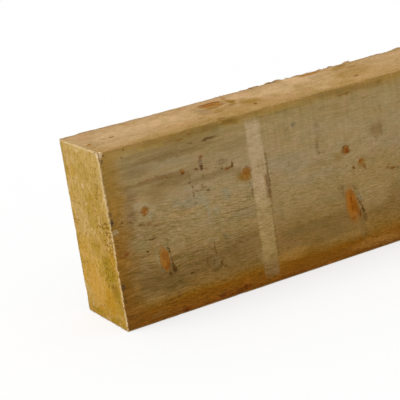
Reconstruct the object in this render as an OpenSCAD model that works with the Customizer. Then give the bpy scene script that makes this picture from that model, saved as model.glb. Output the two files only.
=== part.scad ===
// Treated softwood batten: one sawn stick, standing on its narrow edge.
// Frame: X along the length, Y through the thickness, Z up the broad faces.
// The origin is at the middle of the narrow edge it stands on.

/* [Section] */
// Thickness, from broad face to broad face
thickness = 50; // [38:1:75]
// Width, from narrow edge to narrow edge
width = 100; // [75:5:225]
// Radius of the four long arrises, as the saw and handling leave them
arris_radius = 1; // [0.5:0.25:3]

/* [Length] */
// Length between the two square crosscut ends
stock_length = 1800; // [1800:300:4800]

/* [Hidden] */
arc_steps = 32;

// The sawn section, centred on Y and standing on Z = 0, with its four corners eased
module sawn_section() {
    translate([-thickness / 2, arris_radius])
        square([thickness, width - 2 * arris_radius]);
    translate([-thickness / 2 + arris_radius, 0])
        square([thickness - 2 * arris_radius, width]);
    for (side = [-1, 1], level = [arris_radius, width - arris_radius])
        translate([side * (thickness / 2 - arris_radius), level])
            circle(r = arris_radius, $fn = arc_steps);
}

// The stick is the section run along X, half its length each way
module batten() {
    color("burlywood")
        rotate([90, 0, 90])
            linear_extrude(height = stock_length, center = true)
                sawn_section();
}

batten();
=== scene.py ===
import math
import random
from types import SimpleNamespace

import bmesh
import bpy
import numpy as np
from mathutils import Matrix, Vector, noise


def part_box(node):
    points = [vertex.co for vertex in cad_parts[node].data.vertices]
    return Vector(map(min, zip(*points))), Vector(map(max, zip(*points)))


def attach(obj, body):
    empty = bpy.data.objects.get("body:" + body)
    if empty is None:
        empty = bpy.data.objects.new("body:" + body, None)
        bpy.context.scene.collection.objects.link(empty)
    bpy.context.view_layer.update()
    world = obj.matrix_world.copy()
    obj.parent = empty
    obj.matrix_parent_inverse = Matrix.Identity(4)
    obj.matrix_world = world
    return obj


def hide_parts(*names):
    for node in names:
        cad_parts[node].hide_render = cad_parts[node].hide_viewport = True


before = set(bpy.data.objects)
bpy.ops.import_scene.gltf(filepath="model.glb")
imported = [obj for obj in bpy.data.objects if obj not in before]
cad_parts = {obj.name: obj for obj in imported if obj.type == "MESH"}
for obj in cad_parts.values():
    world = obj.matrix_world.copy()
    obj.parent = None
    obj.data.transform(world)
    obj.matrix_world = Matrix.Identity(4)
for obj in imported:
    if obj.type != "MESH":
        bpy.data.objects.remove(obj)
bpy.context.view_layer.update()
stickLow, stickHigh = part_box("batten")
mm = 0.001
print("frame loaded")

# The wood is measured in mm from its near, front, bottom corner:
# x along the stick, y back through the thickness, z up the broad face
stick = {
    "length": (stickHigh.x - stickLow.x) / mm,
    "thickness": (stickHigh.y - stickLow.y) / mm,
    "width": (stickHigh.z - stickLow.z) / mm,
    "fineLength": 196.0,         # this much of the near end has the finest mesh
    "finest": 0.3,               # mesh step at an arris
    "stepAlong": 1.25,           # mesh step along the fine length
    "longStep": 8.0,             # mesh step along the rest
    "stepAcross": 2.5,           # mesh step across the faces
    "stepGrowth": 0.27,          # how fast the mesh coarsens away from an arris,
    "longGrowth": 0.07,          # past the fine length
    "farGrowth": 0.12,           # and away from the far end
    "arrisLoss": 0.22,           # leg of the worn chamfer on every arris
    "arrisWander": 0.15,         # how much that leg wanders
    "nick": 0.25,                # what small nicks and large chips add to it
    "chip": 0.5,
    "burr": 0.8,                 # how high the torn back top arris stands
    "burrFrom": 196.0,           # and where along the stick the even run of it starts
    "burrReach": 0.9,            # how far in from the arris it thins out
    "faceWaves": 0.09,           # how far the sawn faces wander
    "faceReach": 3.0,            # how far in from a face its wear thins out
    "endFuzz": 0.12,             # how far the crosscut end grain stands up
    "nearPits": 0.9,             # depth of the pits in the shown end and in the far one
    "farPits": 0.3,
}

wood = {
    "pith": (-40.0, 150.0),      # y and z of the heart of the tree, outside the section
    "ringWidth": 1.5,            # mean width of a year's growth
    "treeTop": -0.2,             # how far branches lean along x for each mm outward
    "knotDepth": 26.0,           # how far in the knots near the shown end run
    "branchReach": 1000.0,       # the far ones run through
    "branchSwell": 0.9,          # how far they bend the grain, in radii
    "knotTaper": 0.4,            # how fast a knot thins out past its depth
    "knotPush": 1.65,            # sets the bend of the grain to a knot's swell at its edge
    "knotFade": -0.5,            # and how it fades further out
    "knotDrag": 0.6,             # share of the bend that goes along the branch
}

# Knots that show near the shown end: middle, the way the branch points, radius.
# tone is 0 for clean orange and 1 for dark, rim is the bark line round it, swell bends the grain
# and soft blurs its edge
shownKnots = [
    dict(at=(28.3, 0, 33.8), along=(0.045, 0.41, -0.91), radius=2.8, tone=0.0, rim=0.1,
         swell=2.6, soft=0.12),
    dict(at=(150.5, 0, 30.4), along=(0.09, 0.38, -0.92), radius=4.1, tone=0.0, rim=0.1,
         swell=4.5, soft=0.1),
    dict(at=(20.9, 0, 62.7), along=(0, 0.95, -0.3), radius=2.1, tone=0.3, rim=0.3, swell=1.5, soft=0.5),
    dict(at=(85, 0, 66.8), along=(0, 0.95, -0.3), radius=3.1, tone=0.25, rim=0.15, swell=1.5, soft=0.75),
    dict(at=(150.6, 0, 63.2), along=(0, 0.85, -0.5), radius=2.4, tone=0.7, rim=0.3, swell=1.8, soft=0.45),
    dict(at=(159.4, 0, 54.2), along=(0.3, 0.9, -0.3), radius=2.0, tone=0.1, rim=0.0, swell=1.5, soft=1.0),
    dict(at=(154.4, 0, 51.7), along=(0, 1, 0), radius=1.0, tone=1.0, rim=0.1, swell=0.5, soft=0.8),
    dict(at=(46.5, 0, 78), along=(0, 1, 0), radius=1.2, tone=0.7, rim=0.1, swell=0.5, soft=0.7),
    dict(at=(88, 35.2, 100), along=(0.05, 0.25, -0.97), radius=6.4, tone=0.2, rim=0.5, swell=3.0, soft=0.3),
]

# Branches further along, each a straight run out from the pith at an angle down from level
farBranches = [
    dict(x=372, angle=61, radius=6.0, tone=0.3, rim=0.5),
    dict(x=398, angle=46, radius=4.0, tone=0.5, rim=0.3),
    dict(x=742, angle=66, radius=7.5, tone=0.2, rim=0.5),
    dict(x=768, angle=51, radius=5.0, tone=0.4, rim=0.6),
    dict(x=930, angle=58, radius=3.0, tone=0.6, rim=0.3),
    dict(x=1118, angle=48, radius=7.0, tone=0.2, rim=0.4),
    dict(x=1142, angle=69, radius=4.5, tone=0.5, rim=0.5),
    dict(x=1330, angle=56, radius=2.8, tone=0.6, rim=0.3),
    dict(x=1502, angle=63, radius=7.0, tone=0.3, rim=0.6),
    dict(x=1524, angle=47, radius=5.5, tone=0.3, rim=0.3),
    dict(x=1700, angle=60, radius=4.0, tone=0.5, rim=0.4),
]

# Splinters raised along the back top arris near the shown end: middle, half length and height
raised = [
    (3, 9, 0.3), (16, 8, 0.6), (28, 12, 0.33), (47, 9, 0.2), (104, 9, 0.2), (124.5, 4.5, 0.5),
    (134.5, 3.0, 0.72), (140.5, 4.0, 0.88), (148, 5.0, 0.18), (154.5, 3.5, 0.7), (161.5, 3.0, 0.48),
    (166.5, 2.5, 0.3), (170, 2.2, 0.5), (178, 2.0, 0.6), (190, 3.0, 0.8),
]

# Hollows torn by the saw: middle and half size on their face, lean, and depth
hollows = {
    "front": [
        dict(at=(32.0, 31), half=(0.9, 9.5), lean=-0.08, depth=0.55),
        dict(at=(30.2, 24.5), half=(1.0, 1.2), lean=0.0, depth=0.7),
        dict(at=(156.8, 26), half=(1.7, 14), lean=-0.22, depth=0.6),
        dict(at=(58.0, 77), half=(1.2, 1.5), lean=0.0, depth=0.4),
        dict(at=(72.0, 73.4), half=(6.0, 0.9), lean=0.0, depth=0.25),
    ],
    "back": [
        dict(at=(418.0, 40), half=(9.0, 3.0), lean=0.0, depth=0.5),
        dict(at=(1160.0, 52), half=(14.0, 3.5), lean=0.0, depth=0.6),
    ],
    "top": [
        dict(at=(98.0, 34), half=(1.8, 11), lean=0.2, depth=0.35),
        dict(at=(85.0, 44), half=(6.0, 1.6), lean=0.0, depth=0.35),
        dict(at=(175.0, 43), half=(3.5, 3.0), lean=0.3, depth=0.5),
    ],
}

# Lumps of the worn surface: size in mm along x, y and z, and a shift that sets each apart
wearLumps = {
    "wave": ((14, 40, 90), 0.0),
    "longWave": ((70, 12, 9), 7.0),
    "levelWave": ((22, 60, 30), 3.0),
    "fuzz": ((2, 1.5, 1.5), 11.0),
    "pit": ((3, 1.3, 1.1), 5.0),
    "arris": ((9, 9, 9), 20.0),
    "chip": ((13, 9, 9), 31.0),
    "nick": ((2.2, 1.6, 1.6), 42.0),
    "jag": ((5.5, 60, 60), 75.0),
    "run": ((19, 60, 60), 87.5),
}

# Where the saw pitted the end grain: middle and half size in y and z, and how strongly
pitZones = [
    dict(at=(9, 56), half=(8, 9), share=1.0),
    dict(at=(12, 30), half=(9, 12), share=0.25),
]


def wear(points, name):
    # soft noise, about -1 to 1
    size, shift = wearLumps[name]
    spots = points / np.array(size, float) + shift
    return np.array([noise.noise(spot) for spot in spots.tolist()])


def easeOver(value, low, high):
    # goes smoothly from 0 to 1 as the value goes from low to high
    t = np.clip((value - low) / (high - low), 0.0, 1.0)
    return t * t * (3 - 2 * t)


def softOver(value, rounding=0.3):
    # like max(value, 0), with a rounded start
    rounded = (value + rounding) ** 2 / (4 * rounding)
    return np.where(value > rounding, value, np.where(value < -rounding, 0.0, rounded))


def gridLines(total, stepAt):
    # places of the grid's lines from 0 to the total, with a step that changes along it
    spots = [0.0]
    while spots[-1] < total:
        spots.append(spots[-1] + stepAt(spots[-1]))
    return np.array(spots) * total / spots[-1]


def stepAcross(total):
    def stepAt(spot):
        fromArris = min(spot, max(total - spot - stick["stepAcross"], 0.0))
        return min(stick["finest"] + stick["stepGrowth"] * fromArris, stick["stepAcross"])
    return stepAt


def stepAlong(spot):
    fromNear, fromFar = spot, max(stick["length"] - spot - stick["longStep"], 0.0)
    step = min(stick["finest"] + stick["stepGrowth"] * fromNear, stick["stepAlong"])
    step += stick["longGrowth"] * max(spot - stick["fineLength"], 0.0)
    return min(step, stick["longStep"], stick["finest"] + stick["farGrowth"] * fromFar)


def sawnBlock():
    # the six faces of the sawn stick as one closed grid that shares its edges
    xs = gridLines(stick["length"], stepAlong)
    ys = gridLines(stick["thickness"], stepAcross(stick["thickness"]))
    zs = gridLines(stick["width"], stepAcross(stick["width"]))
    outside = np.zeros((len(xs), len(ys), len(zs)), bool)
    outside[[0, -1]] = True
    outside[:, [0, -1]] = True
    outside[:, :, [0, -1]] = True
    ids = np.full(outside.shape, -1)
    ids[outside] = np.arange(outside.sum())
    i, j, k = np.nonzero(outside)
    corners = np.stack([xs[i], ys[j], zs[k]], 1)
    quads = []
    sheets = [(ids[0], True), (ids[-1], False), (ids[:, 0], False)]
    sheets += [(ids[:, -1], True), (ids[:, :, 0], True), (ids[:, :, -1], False)]
    for sheet, turned in sheets:
        quad = np.stack([sheet[:-1, :-1], sheet[1:, :-1], sheet[1:, 1:], sheet[:-1, 1:]], -1)
        quad = quad.reshape(-1, 4)
        quads.append(quad[:, ::-1] if turned else quad)
    return corners, np.concatenate(quads)


def refineEnd(mesh, cuts):
    # finer cells on the near end, where the end grain is pitted
    bm = bmesh.new()
    bm.from_mesh(mesh)
    edge = 0.01

    def inside(vert):
        return edge < vert.co.y < stick["thickness"] - edge and edge < vert.co.z < stick["width"] - edge

    inner = [e for e in bm.edges
             if all(v.co.x < edge for v in e.verts) and any(inside(v) for v in e.verts)]
    bmesh.ops.subdivide_edges(bm, edges=inner, cuts=cuts, use_grid_fill=True)
    bm.to_mesh(mesh)
    bm.free()


def hollowDepth(along, across, face):
    depth = np.zeros(len(along))
    for torn in hollows.get(face, []):
        u = (along - torn["at"][0] - torn["lean"] * (across - torn["at"][1])) / torn["half"][0]
        v = (across - torn["at"][1]) / torn["half"][1]
        depth += torn["depth"] * (1 - easeOver(np.hypot(u, v), 0.4, 1.15))
    return depth


def weather(points):
    # moves points of the plain block to the worn, sawn surface
    p = points.copy()
    x, y, z = points.T
    length, thickness, width = stick["length"], stick["thickness"], stick["width"]
    gap = dict(near=x, far=length - x, front=y, back=thickness - y, bottom=z, top=width - z)
    waves = stick["faceWaves"]

    # slow waves left by the saw, strongest along the stick, and the torn hollows
    across = waves * (0.6 + 0.5 * wear(points, "wave") + 0.3 * wear(points, "longWave"))
    level = waves * (0.5 + 0.4 * wear(points, "levelWave"))
    depth = {
        "front": across + hollowDepth(x, z, "front"),
        "back": across + hollowDepth(x, z, "back"),
        "top": level + hollowDepth(x, y, "top"),
        "bottom": level,
    }

    # the crosscut end stands up in fuzz and is pitted where the saw tore it
    fuzz = stick["endFuzz"] * (0.6 + wear(points, "fuzz"))
    pitted = np.zeros(len(p))
    for zone in pitZones:
        u = (y - zone["at"][0]) / zone["half"][0]
        v = (z - zone["at"][1]) / zone["half"][1]
        pitted += zone["share"] * np.exp(-u ** 2 - v ** 2)
    pits = easeOver(wear(points, "pit"), 0.12, 0.5) * (0.02 + 0.98 * pitted)
    depth["near"] = fuzz + stick["nearPits"] * pits
    depth["far"] = fuzz + stick["farPits"] * pits

    axisOf = dict(near=0, far=0, front=1, back=1, bottom=2, top=2)
    inward = dict(near=1, far=-1, front=1, back=-1, bottom=1, top=-1)
    for face, amount in depth.items():
        fade = np.exp(-gap[face] / stick["faceReach"])
        p[:, axisOf[face]] += inward[face] * np.maximum(amount, 0) * fade

    # arris wear: each edge loses a small chamfer, and now and then a chip
    wander = wear(points, "arris")
    chips = easeOver(wear(points, "chip"), 0.32, 0.6)
    nicks = np.abs(wear(points, "nick"))
    pairs = [(a, b) for a in axisOf for b in axisOf if axisOf[a] < axisOf[b]]
    for a, b in pairs:
        leg = stick["arrisLoss"] + stick["arrisWander"] * wander
        leg = leg + stick["nick"] * nicks + stick["chip"] * chips
        if {a, b} == {"back", "top"}:      # crisp, under the burr
            leg = leg - 0.2
        if {a, b} == {"near", "front"}:    # ragged, and most so high up
            leg = leg - 0.1 + 0.5 * nicks + 0.2 * easeOver(z, 55, 72)
        if {a, b} == {"near", "top"}:
            leg = leg - 0.15 + 0.3 * nicks
        lost = softOver(leg - gap[a] - gap[b]) / 2
        p[:, axisOf[a]] += inward[a] * lost
        p[:, axisOf[b]] += inward[b] * lost

    # the back top arris stands up in a burr: splinters near the shown end, then an even torn run
    jags = easeOver(wear(points, "jag"), -0.1, 0.5)
    runs = easeOver(wear(points, "run"), -0.35, 0.25)
    jagged = easeOver(x, stick["burrFrom"] - 8, stick["burrFrom"] + 6) * (0.1 + 0.9 * jags * runs)
    lifted = 0.1 * jags
    for middle, half, height in raised:
        lifted = np.maximum(lifted, height * (1 - easeOver(np.abs(x - middle) / half, 0.3, 1.2)))
    fade = np.exp(-(gap["back"] + gap["top"]) / stick["burrReach"])
    p[:, 2] += (stick["burr"] * jagged + lifted) * fade
    return p


# How the faces are laid out for a baked finish, in cells of a square map
layout = {
    "side": 1024.0,
    "fineLength": 200.0,         # mm of the near end laid out at the larger scale
    "fineScale": 2.0,            # cells for each mm
    "coarseScale": 1.03,
    "strips": 3,                 # how many strips the rest of the length is cut into
    "faceGap": 3.0,              # mm between the faces of a strip, and between strips
    "stripGap": 24,
    "fineCorner": (590, 8),
    "coarseCorner": (12, 8),
    "endScale": {"near": 2.8, "far": 1.5},
    "endCorner": {"near": (590, 640), "far": (760, 640)},
}


def layOutFaces(mesh, faceOf):
    # the shown end is at a larger scale, so that a baked finish stays sharp
    length, thickness, width = stick["length"], stick["thickness"], stick["width"]
    around = {"bottom": 0.0, "front": thickness, "top": thickness + width, "back": 2 * thickness + width}
    faceOrder = list(around)
    stripHeight = 2 * (thickness + width) + layout["stripGap"]
    fine, coarseScale = layout["fineLength"], layout["coarseScale"]
    stripLength = (length - fine) / layout["strips"]
    layer = mesh.uv_layers.new(name="OFBake")
    spots = np.zeros((len(mesh.loops), 2))
    for poly in mesh.polygons:
        face = faceOf(poly)
        middle = poly.center.x
        for loop, vert in zip(poly.loop_indices, poly.vertices):
            x, y, z = mesh.vertices[vert].co
            if face in ("near", "far"):
                scale, corner = layout["endScale"][face], layout["endCorner"][face]
                spots[loop] = corner[0] + y * scale, corner[1] + z * scale
                continue
            turn = {"bottom": thickness - y, "front": z, "top": y, "back": width - z}[face]
            turn += around[face] + layout["faceGap"] * faceOrder.index(face)
            if middle < fine:
                corner, scale = layout["fineCorner"], layout["fineScale"]
                spots[loop] = corner[0] + x * scale, corner[1] + turn * scale
            else:
                strip = min(int((middle - fine) / stripLength), layout["strips"] - 1)
                corner, start = layout["coarseCorner"], fine + strip * stripLength
                spots[loop, 0] = corner[0] + (x - start) * coarseScale
                spots[loop, 1] = corner[1] + strip * stripHeight * coarseScale + turn * coarseScale
    layer.data.foreach_set("uv", (spots / layout["side"]).astype(np.float32).ravel())


def nominalFace(poly):
    n = poly.normal
    if abs(n.x) > 0.7:
        return "near" if n.x < 0 else "far"
    if abs(n.y) > 0.7:
        return "front" if n.y < 0 else "back"
    return "bottom" if n.z < 0 else "top"


def toFrame(points):
    # from mm on the stick to metres in the shared frame
    return points * mm + np.array(stickLow)


def makeBatten():
    corners, quads = sawnBlock()
    mesh = bpy.data.meshes.new("sawnBatten")
    mesh.from_pydata(corners.tolist(), [], quads.tolist())
    refineEnd(mesh, 2)
    mesh.update()
    layOutFaces(mesh, nominalFace)
    points = np.zeros(len(mesh.vertices) * 3, np.float32)
    mesh.vertices.foreach_get("co", points)
    points = toFrame(weather(points.reshape(-1, 3).astype(float)))
    mesh.vertices.foreach_set("co", points.astype(np.float32).ravel())
    mesh.polygons.foreach_set("use_smooth", [True] * len(mesh.polygons))
    mesh.update()
    batten = bpy.data.objects.new("sawnBatten", mesh)
    bpy.context.scene.collection.objects.link(batten)
    return batten


batten = makeBatten()
print("batten mesh:", len(batten.data.polygons), "faces,",
      sum(len(p.vertices) - 2 for p in batten.data.polygons), "triangles")


# Wood fibres torn up along the arrises by the saw
fibres = {
    "seed": 7,
    "thick": 0.16,
    "rootDepth": 0.25,           # how deep in the wood they start
    "spread": 0.8,               # how untidily they point
    "bend": 0.12,                # how far they bend, as a share of their reach
    "taper": 0.75,               # thickness at half their reach
    "floorGap": 0.02,            # they stop this far above the floor
    # where each run lies: the two faces that meet, its span along the edge, how many and how long
    "runs": [
        dict(edge=("back", "top"), span=(98, 600), count=300, reach=(0.5, 1.8), drag=2.4),
        dict(edge=("back", "top"), span=(600, 1795), count=500, reach=(0.8, 3.0), drag=2.2),
        dict(edge=("back", "top"), span=(2, 98), count=90, reach=(0.3, 0.9), drag=1.0),
        dict(edge=("back", "top"), span=(98, 700), count=60, reach=(1.2, 2.8), drag=3.4, stout=1.9),
        dict(edge=("near", "front"), span=(96, 100), count=70, reach=(0.6, 1.5), stout=1.6),
        dict(edge=("near", "top"), span=(0, 5), count=60, reach=(0.5, 1.3), stout=1.5),
        dict(edge=("near", "front"), span=(62, 100), count=260, reach=(0.5, 1.5)),
        dict(edge=("near", "front"), span=(0, 62), count=110, reach=(0.3, 0.9)),
        dict(edge=("near", "top"), span=(0, 50), count=150, reach=(0.3, 0.8)),
        dict(edge=("near", "back"), span=(0, 100), count=120, reach=(0.3, 0.9)),
        dict(edge=("near", "bottom"), span=(0, 50), count=110, reach=(0.4, 1.4)),
        dict(edge=("far", "front"), span=(0, 100), count=130, reach=(0.4, 1.2)),
        dict(edge=("far", "top"), span=(0, 50), count=70, reach=(0.4, 1.0)),
        dict(edge=("far", "back"), span=(0, 100), count=130, reach=(0.4, 1.2)),
        dict(edge=("far", "bottom"), span=(0, 50), count=70, reach=(0.4, 1.2)),
    ],
}


def splinter(root, tip, bend, thick, sides=3):
    # a thin closed blade that tapers from its root to its tip
    axis = (tip - root).normalized()
    side = axis.orthogonal().normalized()
    other = axis.cross(side)
    rings = [(root, 1.0), ((root + tip) / 2 + bend, fibres["taper"])]
    verts = []
    for middle, size in rings:
        for n in range(sides):
            turn = 2 * math.pi * n / sides
            verts.append(middle + (side * math.cos(turn) + other * math.sin(turn)) * thick * size)
    verts.append(tip)
    faces = [tuple(reversed(range(sides)))]
    for n in range(sides):
        m = (n + 1) % sides
        faces.append((n, m, sides + m, sides + n))
        faces.append((sides + n, sides + m, 2 * sides))
    return verts, faces


def edgePoint(edge, spot):
    # a point of the plain block on the edge where two faces meet
    place = {
        "near": (0, 0.0), "front": (1, 0.0), "bottom": (2, 0.0),
        "far": (0, stick["length"]), "back": (1, stick["thickness"]), "top": (2, stick["width"]),
    }
    point = [None, None, None]
    for face in edge:
        axis, value = place[face]
        point[axis] = value
    point[point.index(None)] = spot
    return point


outward = {
    "near": (-1, 0, 0), "front": (0, -1, 0), "bottom": (0, 0, -1),
    "far": (1, 0, 0), "back": (0, 1, 0), "top": (0, 0, 1),
}


def makeFibres():
    draw = random.Random(fibres["seed"])
    verts, faces = [], []
    for run in fibres["runs"]:
        spots = [draw.uniform(*run["span"]) for _ in range(run["count"])]
        roots = weather(np.array([edgePoint(run["edge"], spot) for spot in spots], float))
        out = sum((Vector(outward[face]) for face in run["edge"]), Vector()).normalized()
        for root in roots:
            reach = draw.uniform(*run["reach"])
            loose = Vector([draw.gauss(0, 1) for _ in range(3)])
            drag = Vector((draw.choice((-1, 1)) * run.get("drag", 0.0), 0, 0))
            # the saw drags some runs one way or the other along the stick
            lean = (out + fibres["spread"] * loose + drag).normalized()
            start = Vector(root) - out * fibres["rootDepth"]
            tip = start + lean * reach
            bend = Vector([draw.gauss(0, fibres["bend"]) for _ in range(3)]) * reach
            thick = fibres["thick"] * run.get("stout", 1.0) * draw.uniform(0.5, 1.0)
            blade, sides = splinter(start, tip, bend, thick)
            first = len(verts)
            verts += blade
            faces += [tuple(first + n for n in side) for side in sides]
    places = np.array(verts)
    places[:, 2] = np.maximum(places[:, 2], fibres["floorGap"])
    mesh = bpy.data.meshes.new("tornFibres")
    mesh.from_pydata(toFrame(places).tolist(), [], faces)
    mesh.polygons.foreach_set("use_smooth", [True] * len(mesh.polygons))
    made = bpy.data.objects.new("tornFibres", mesh)
    bpy.context.scene.collection.objects.link(made)
    return made


tornFibres = makeFibres()
print("torn fibres:", len(tornFibres.data.polygons), "faces")


def paint(red, green, blue):
    # a colour as written on a colour card, 0 to 255, as the linear value a shader takes
    return tuple((c / 255 / 12.92) if c <= 10 else ((c / 255 + 0.055) / 1.055) ** 2.4
                 for c in (red, green, blue)) + (1.0,)


def feed(tree, socket, value):
    if isinstance(value, bpy.types.NodeSocket):
        tree.links.new(value, socket)
    elif value is not None:
        socket.default_value = value


def node(tree, kind, *values, **settings):
    made = tree.nodes.new("ShaderNode" + kind)
    for name, value in settings.items():
        setattr(made, name, value)
    for socket, value in zip(made.inputs, values):
        feed(tree, socket, value)
    return made


def sums(tree, operation, a, b=None, c=None):
    return node(tree, "Math", a, b, c, operation=operation).outputs[0]


def times(tree, a, b):
    return sums(tree, "MULTIPLY", a, b)


def plus(tree, a, b):
    return sums(tree, "ADD", a, b)


def minus(tree, a, b):
    return sums(tree, "SUBTRACT", a, b)


def nudged(tree, value, noise, amount):
    # the value moved by a 0 to 1 noise, over that amount from lowest to highest
    return sums(tree, "MULTIPLY_ADD", minus(tree, noise, 0.5), amount, value)


def wandering(tree, value, noise, reach):
    # a place moved by a 0 to 1 noise, as far as the reach either way
    return plus(tree, value, sums(tree, "MULTIPLY_ADD", noise, 2 * reach, -reach))


def vectors(tree, operation, a, b=None, c=None):
    made = node(tree, "VectorMath", a, b, c, operation=operation)
    return made.outputs["Value" if operation in ("LENGTH", "DOT_PRODUCT", "DISTANCE") else "Vector"]


def scaledVector(tree, vector, amount):
    made = node(tree, "VectorMath", vector, operation="SCALE")
    feed(tree, made.inputs["Scale"], amount)
    return made.outputs["Vector"]


def ease(tree, value, low, high, toLow=0.0, toHigh=1.0):
    # goes smoothly from toLow to toHigh as the value goes from low to high
    made = node(tree, "MapRange", value, low, high, toLow, toHigh)
    made.interpolation_type = "SMOOTHSTEP"
    made.clamp = False
    return made.outputs[0]


def about(tree, value, middle, full, gone, most=1.0, least=0.0):
    # most within that distance of the middle, and least beyond the other
    return ease(tree, sums(tree, "ABSOLUTE", minus(tree, value, middle)), full, gone, most, least)


def scaledBy(tree, coords, size, shift):
    scale = tuple(1 / mm / s for s in size)
    return node(tree, "Mapping", coords, (shift,) * 3, (0, 0, 0), scale).outputs[0]


def lumps(tree, coords, size, detail=2.0, roughness=0.5, shift=0.0):
    # noise from 0 to 1 with lumps of that size in mm along x, y and z
    spot = scaledBy(tree, coords, size, shift)
    return node(tree, "TexNoise", spot, None, 1.0, detail, roughness).outputs["Fac"]


def threeNoises(tree, coords, size, shift):
    # three at once, to push a place about
    made = node(tree, "TexNoise", scaledBy(tree, coords, size, shift), None, 1.0, 3.0, 0.65)
    return node(tree, "SeparateColor", made.outputs["Color"]).outputs


def mixColour(tree, share, a, b, how="MIX"):
    made = tree.nodes.new("ShaderNodeMix")
    made.data_type = "RGBA"
    made.blend_type = how
    made.clamp_factor = True
    for socket, value in ((0, share), (6, a), (7, b)):    # 6, 7 and output 2 are the colour sockets
        feed(tree, made.inputs[socket], value)
    return made.outputs[2]


def tinted(tree, share, colour, tint):
    return mixColour(tree, share, colour, paint(*tint))


def shade(tree, colour, tone, blue=1.0):
    # the colour made darker or lighter by a multiplier, with more or less swing in its blue
    toneBlue = tone if blue == 1.0 else sums(tree, "MULTIPLY_ADD", tone, blue, 1.0 - blue)
    grey = node(tree, "CombineColor", tone, tone, toneBlue).outputs[0]
    return mixColour(tree, 1.0, colour, grey, "MULTIPLY")


def ramp(tree, value, stops):
    made = tree.nodes.new("ShaderNodeValToRGB")
    feed(tree, made.inputs[0], value)
    band = made.color_ramp
    band.elements[0].position, band.elements[0].color = stops[0][0], paint(*stops[0][1])
    band.elements[-1].position, band.elements[-1].color = stops[-1][0], paint(*stops[-1][1])
    for place, colour in stops[1:-1]:
        band.elements.new(place).color = paint(*colour)
    return made.outputs[0]


def newGroup(name, takes, gives):
    # a node group with those sockets, each a name and its kind, and the two ends to build it between
    tree = bpy.data.node_groups.new(name, "ShaderNodeTree")
    for way, sockets in (("INPUT", takes), ("OUTPUT", gives)):
        for socket, kind in sockets.items():
            tree.interface.new_socket(name=socket, in_out=way, socket_type="NodeSocket" + kind)
    given = tree.nodes.new("NodeGroupInput").outputs
    result = tree.nodes.new("NodeGroupOutput").inputs
    return tree, given, result


def numbers(*names):
    return dict.fromkeys(names, "Float")


def makeKnotGroup():
    # one branch, a straight run through the wood: what counts is how many radii away the nearest one is,
    # and how far all of them push the grain aside
    place = dict(Where="Vector", Start="Vector", Along="Vector")
    here = numbers("Radius", "Reach", "ToneHere", "RimHere", "SoftHere", "SwellHere")
    passedOn = {**numbers("Away", "Tone", "Rim", "Soft"), "Push": "Vector"}
    tree, given, result = newGroup("knotGrain", {**place, **here, **passedOn}, passedOn)
    offset = vectors(tree, "SUBTRACT", given["Where"], given["Start"])
    run = vectors(tree, "DOT_PRODUCT", offset, given["Along"])
    side = vectors(tree, "SUBTRACT", offset, scaledVector(tree, given["Along"], run))
    apart = vectors(tree, "LENGTH", side)
    past = sums(tree, "MAXIMUM", minus(tree, run, given["Reach"]), 0.0)
    past = times(tree, past, wood["knotTaper"])
    away = plus(tree, sums(tree, "DIVIDE", apart, given["Radius"]), past)
    nearer = sums(tree, "LESS_THAN", away, given["Away"])
    for name in ("Tone", "Rim", "Soft"):
        change = minus(tree, given[name + "Here"], given[name])
        feed(tree, result[name], sums(tree, "MULTIPLY_ADD", nearer, change, given[name]))
    feed(tree, result["Away"], sums(tree, "MINIMUM", away, given["Away"]))
    outside = sums(tree, "MAXIMUM", away, 1.0)
    fade = sums(tree, "EXPONENT", times(tree, outside, wood["knotFade"]))
    amount = times(tree, times(tree, fade, wood["knotPush"]), given["SwellHere"])
    aside = scaledVector(tree, vectors(tree, "NORMALIZE", side), amount)
    forward = scaledVector(tree, given["Along"], times(tree, amount, wood["knotDrag"]))
    push = vectors(tree, "ADD", vectors(tree, "ADD", aside, forward), given["Push"])
    feed(tree, result["Push"], push)
    return tree


def makeDabGroup():
    # one stain or scuff: a soft oval on a face, laid with those before it
    place = numbers("Along", "AlongScale", "AlongShift", "Up", "UpScale", "UpShift", "Shear")
    takes = {**place, **numbers("Strength", "Before")}
    tree, given, result = newGroup("faceMark", takes, numbers("Mark"))
    v = sums(tree, "MULTIPLY_ADD", given["Up"], given["UpScale"], given["UpShift"])
    u = sums(tree, "MULTIPLY_ADD", given["Along"], given["AlongScale"], given["AlongShift"])
    u = sums(tree, "MULTIPLY_ADD", v, given["Shear"], u)
    far = vectors(tree, "LENGTH", node(tree, "CombineXYZ", u, v).outputs[0])
    spread = ease(tree, far, 0.45, 1.3, 1.0, 0.0)    # fades out past the edge of the spot
    mark = times(tree, spread, given["Strength"])
    feed(tree, result["Mark"], sums(tree, "MAXIMUM", mark, given["Before"]))
    return tree


def makeStreakGroup():
    # noise at a place that other nodes have already bent, given in mm
    takes = {"Where": "Vector", "Scale": "Vector", **numbers("Detail", "Roughness")}
    tree, given, result = newGroup("grainStreak", takes, numbers("Noise"))
    scaled = vectors(tree, "MULTIPLY", given["Where"], given["Scale"])
    made = node(tree, "TexNoise", scaled, None, 1.0, given["Detail"], given["Roughness"])
    feed(tree, result["Noise"], made.outputs["Fac"])
    return tree


knotGroup = makeKnotGroup()
dabGroup = makeDabGroup()
streakGroup = makeStreakGroup()


def grouped(tree, group, values):
    made = tree.nodes.new("ShaderNodeGroup")
    made.node_tree = group
    for socket, value in zip(made.inputs, values):
        feed(tree, socket, value)
    return made.outputs


def streaks(tree, where, size, detail=2.0, roughness=0.5):
    return grouped(tree, streakGroup, [where, tuple(1 / s for s in size), detail, roughness])[0]


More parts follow.
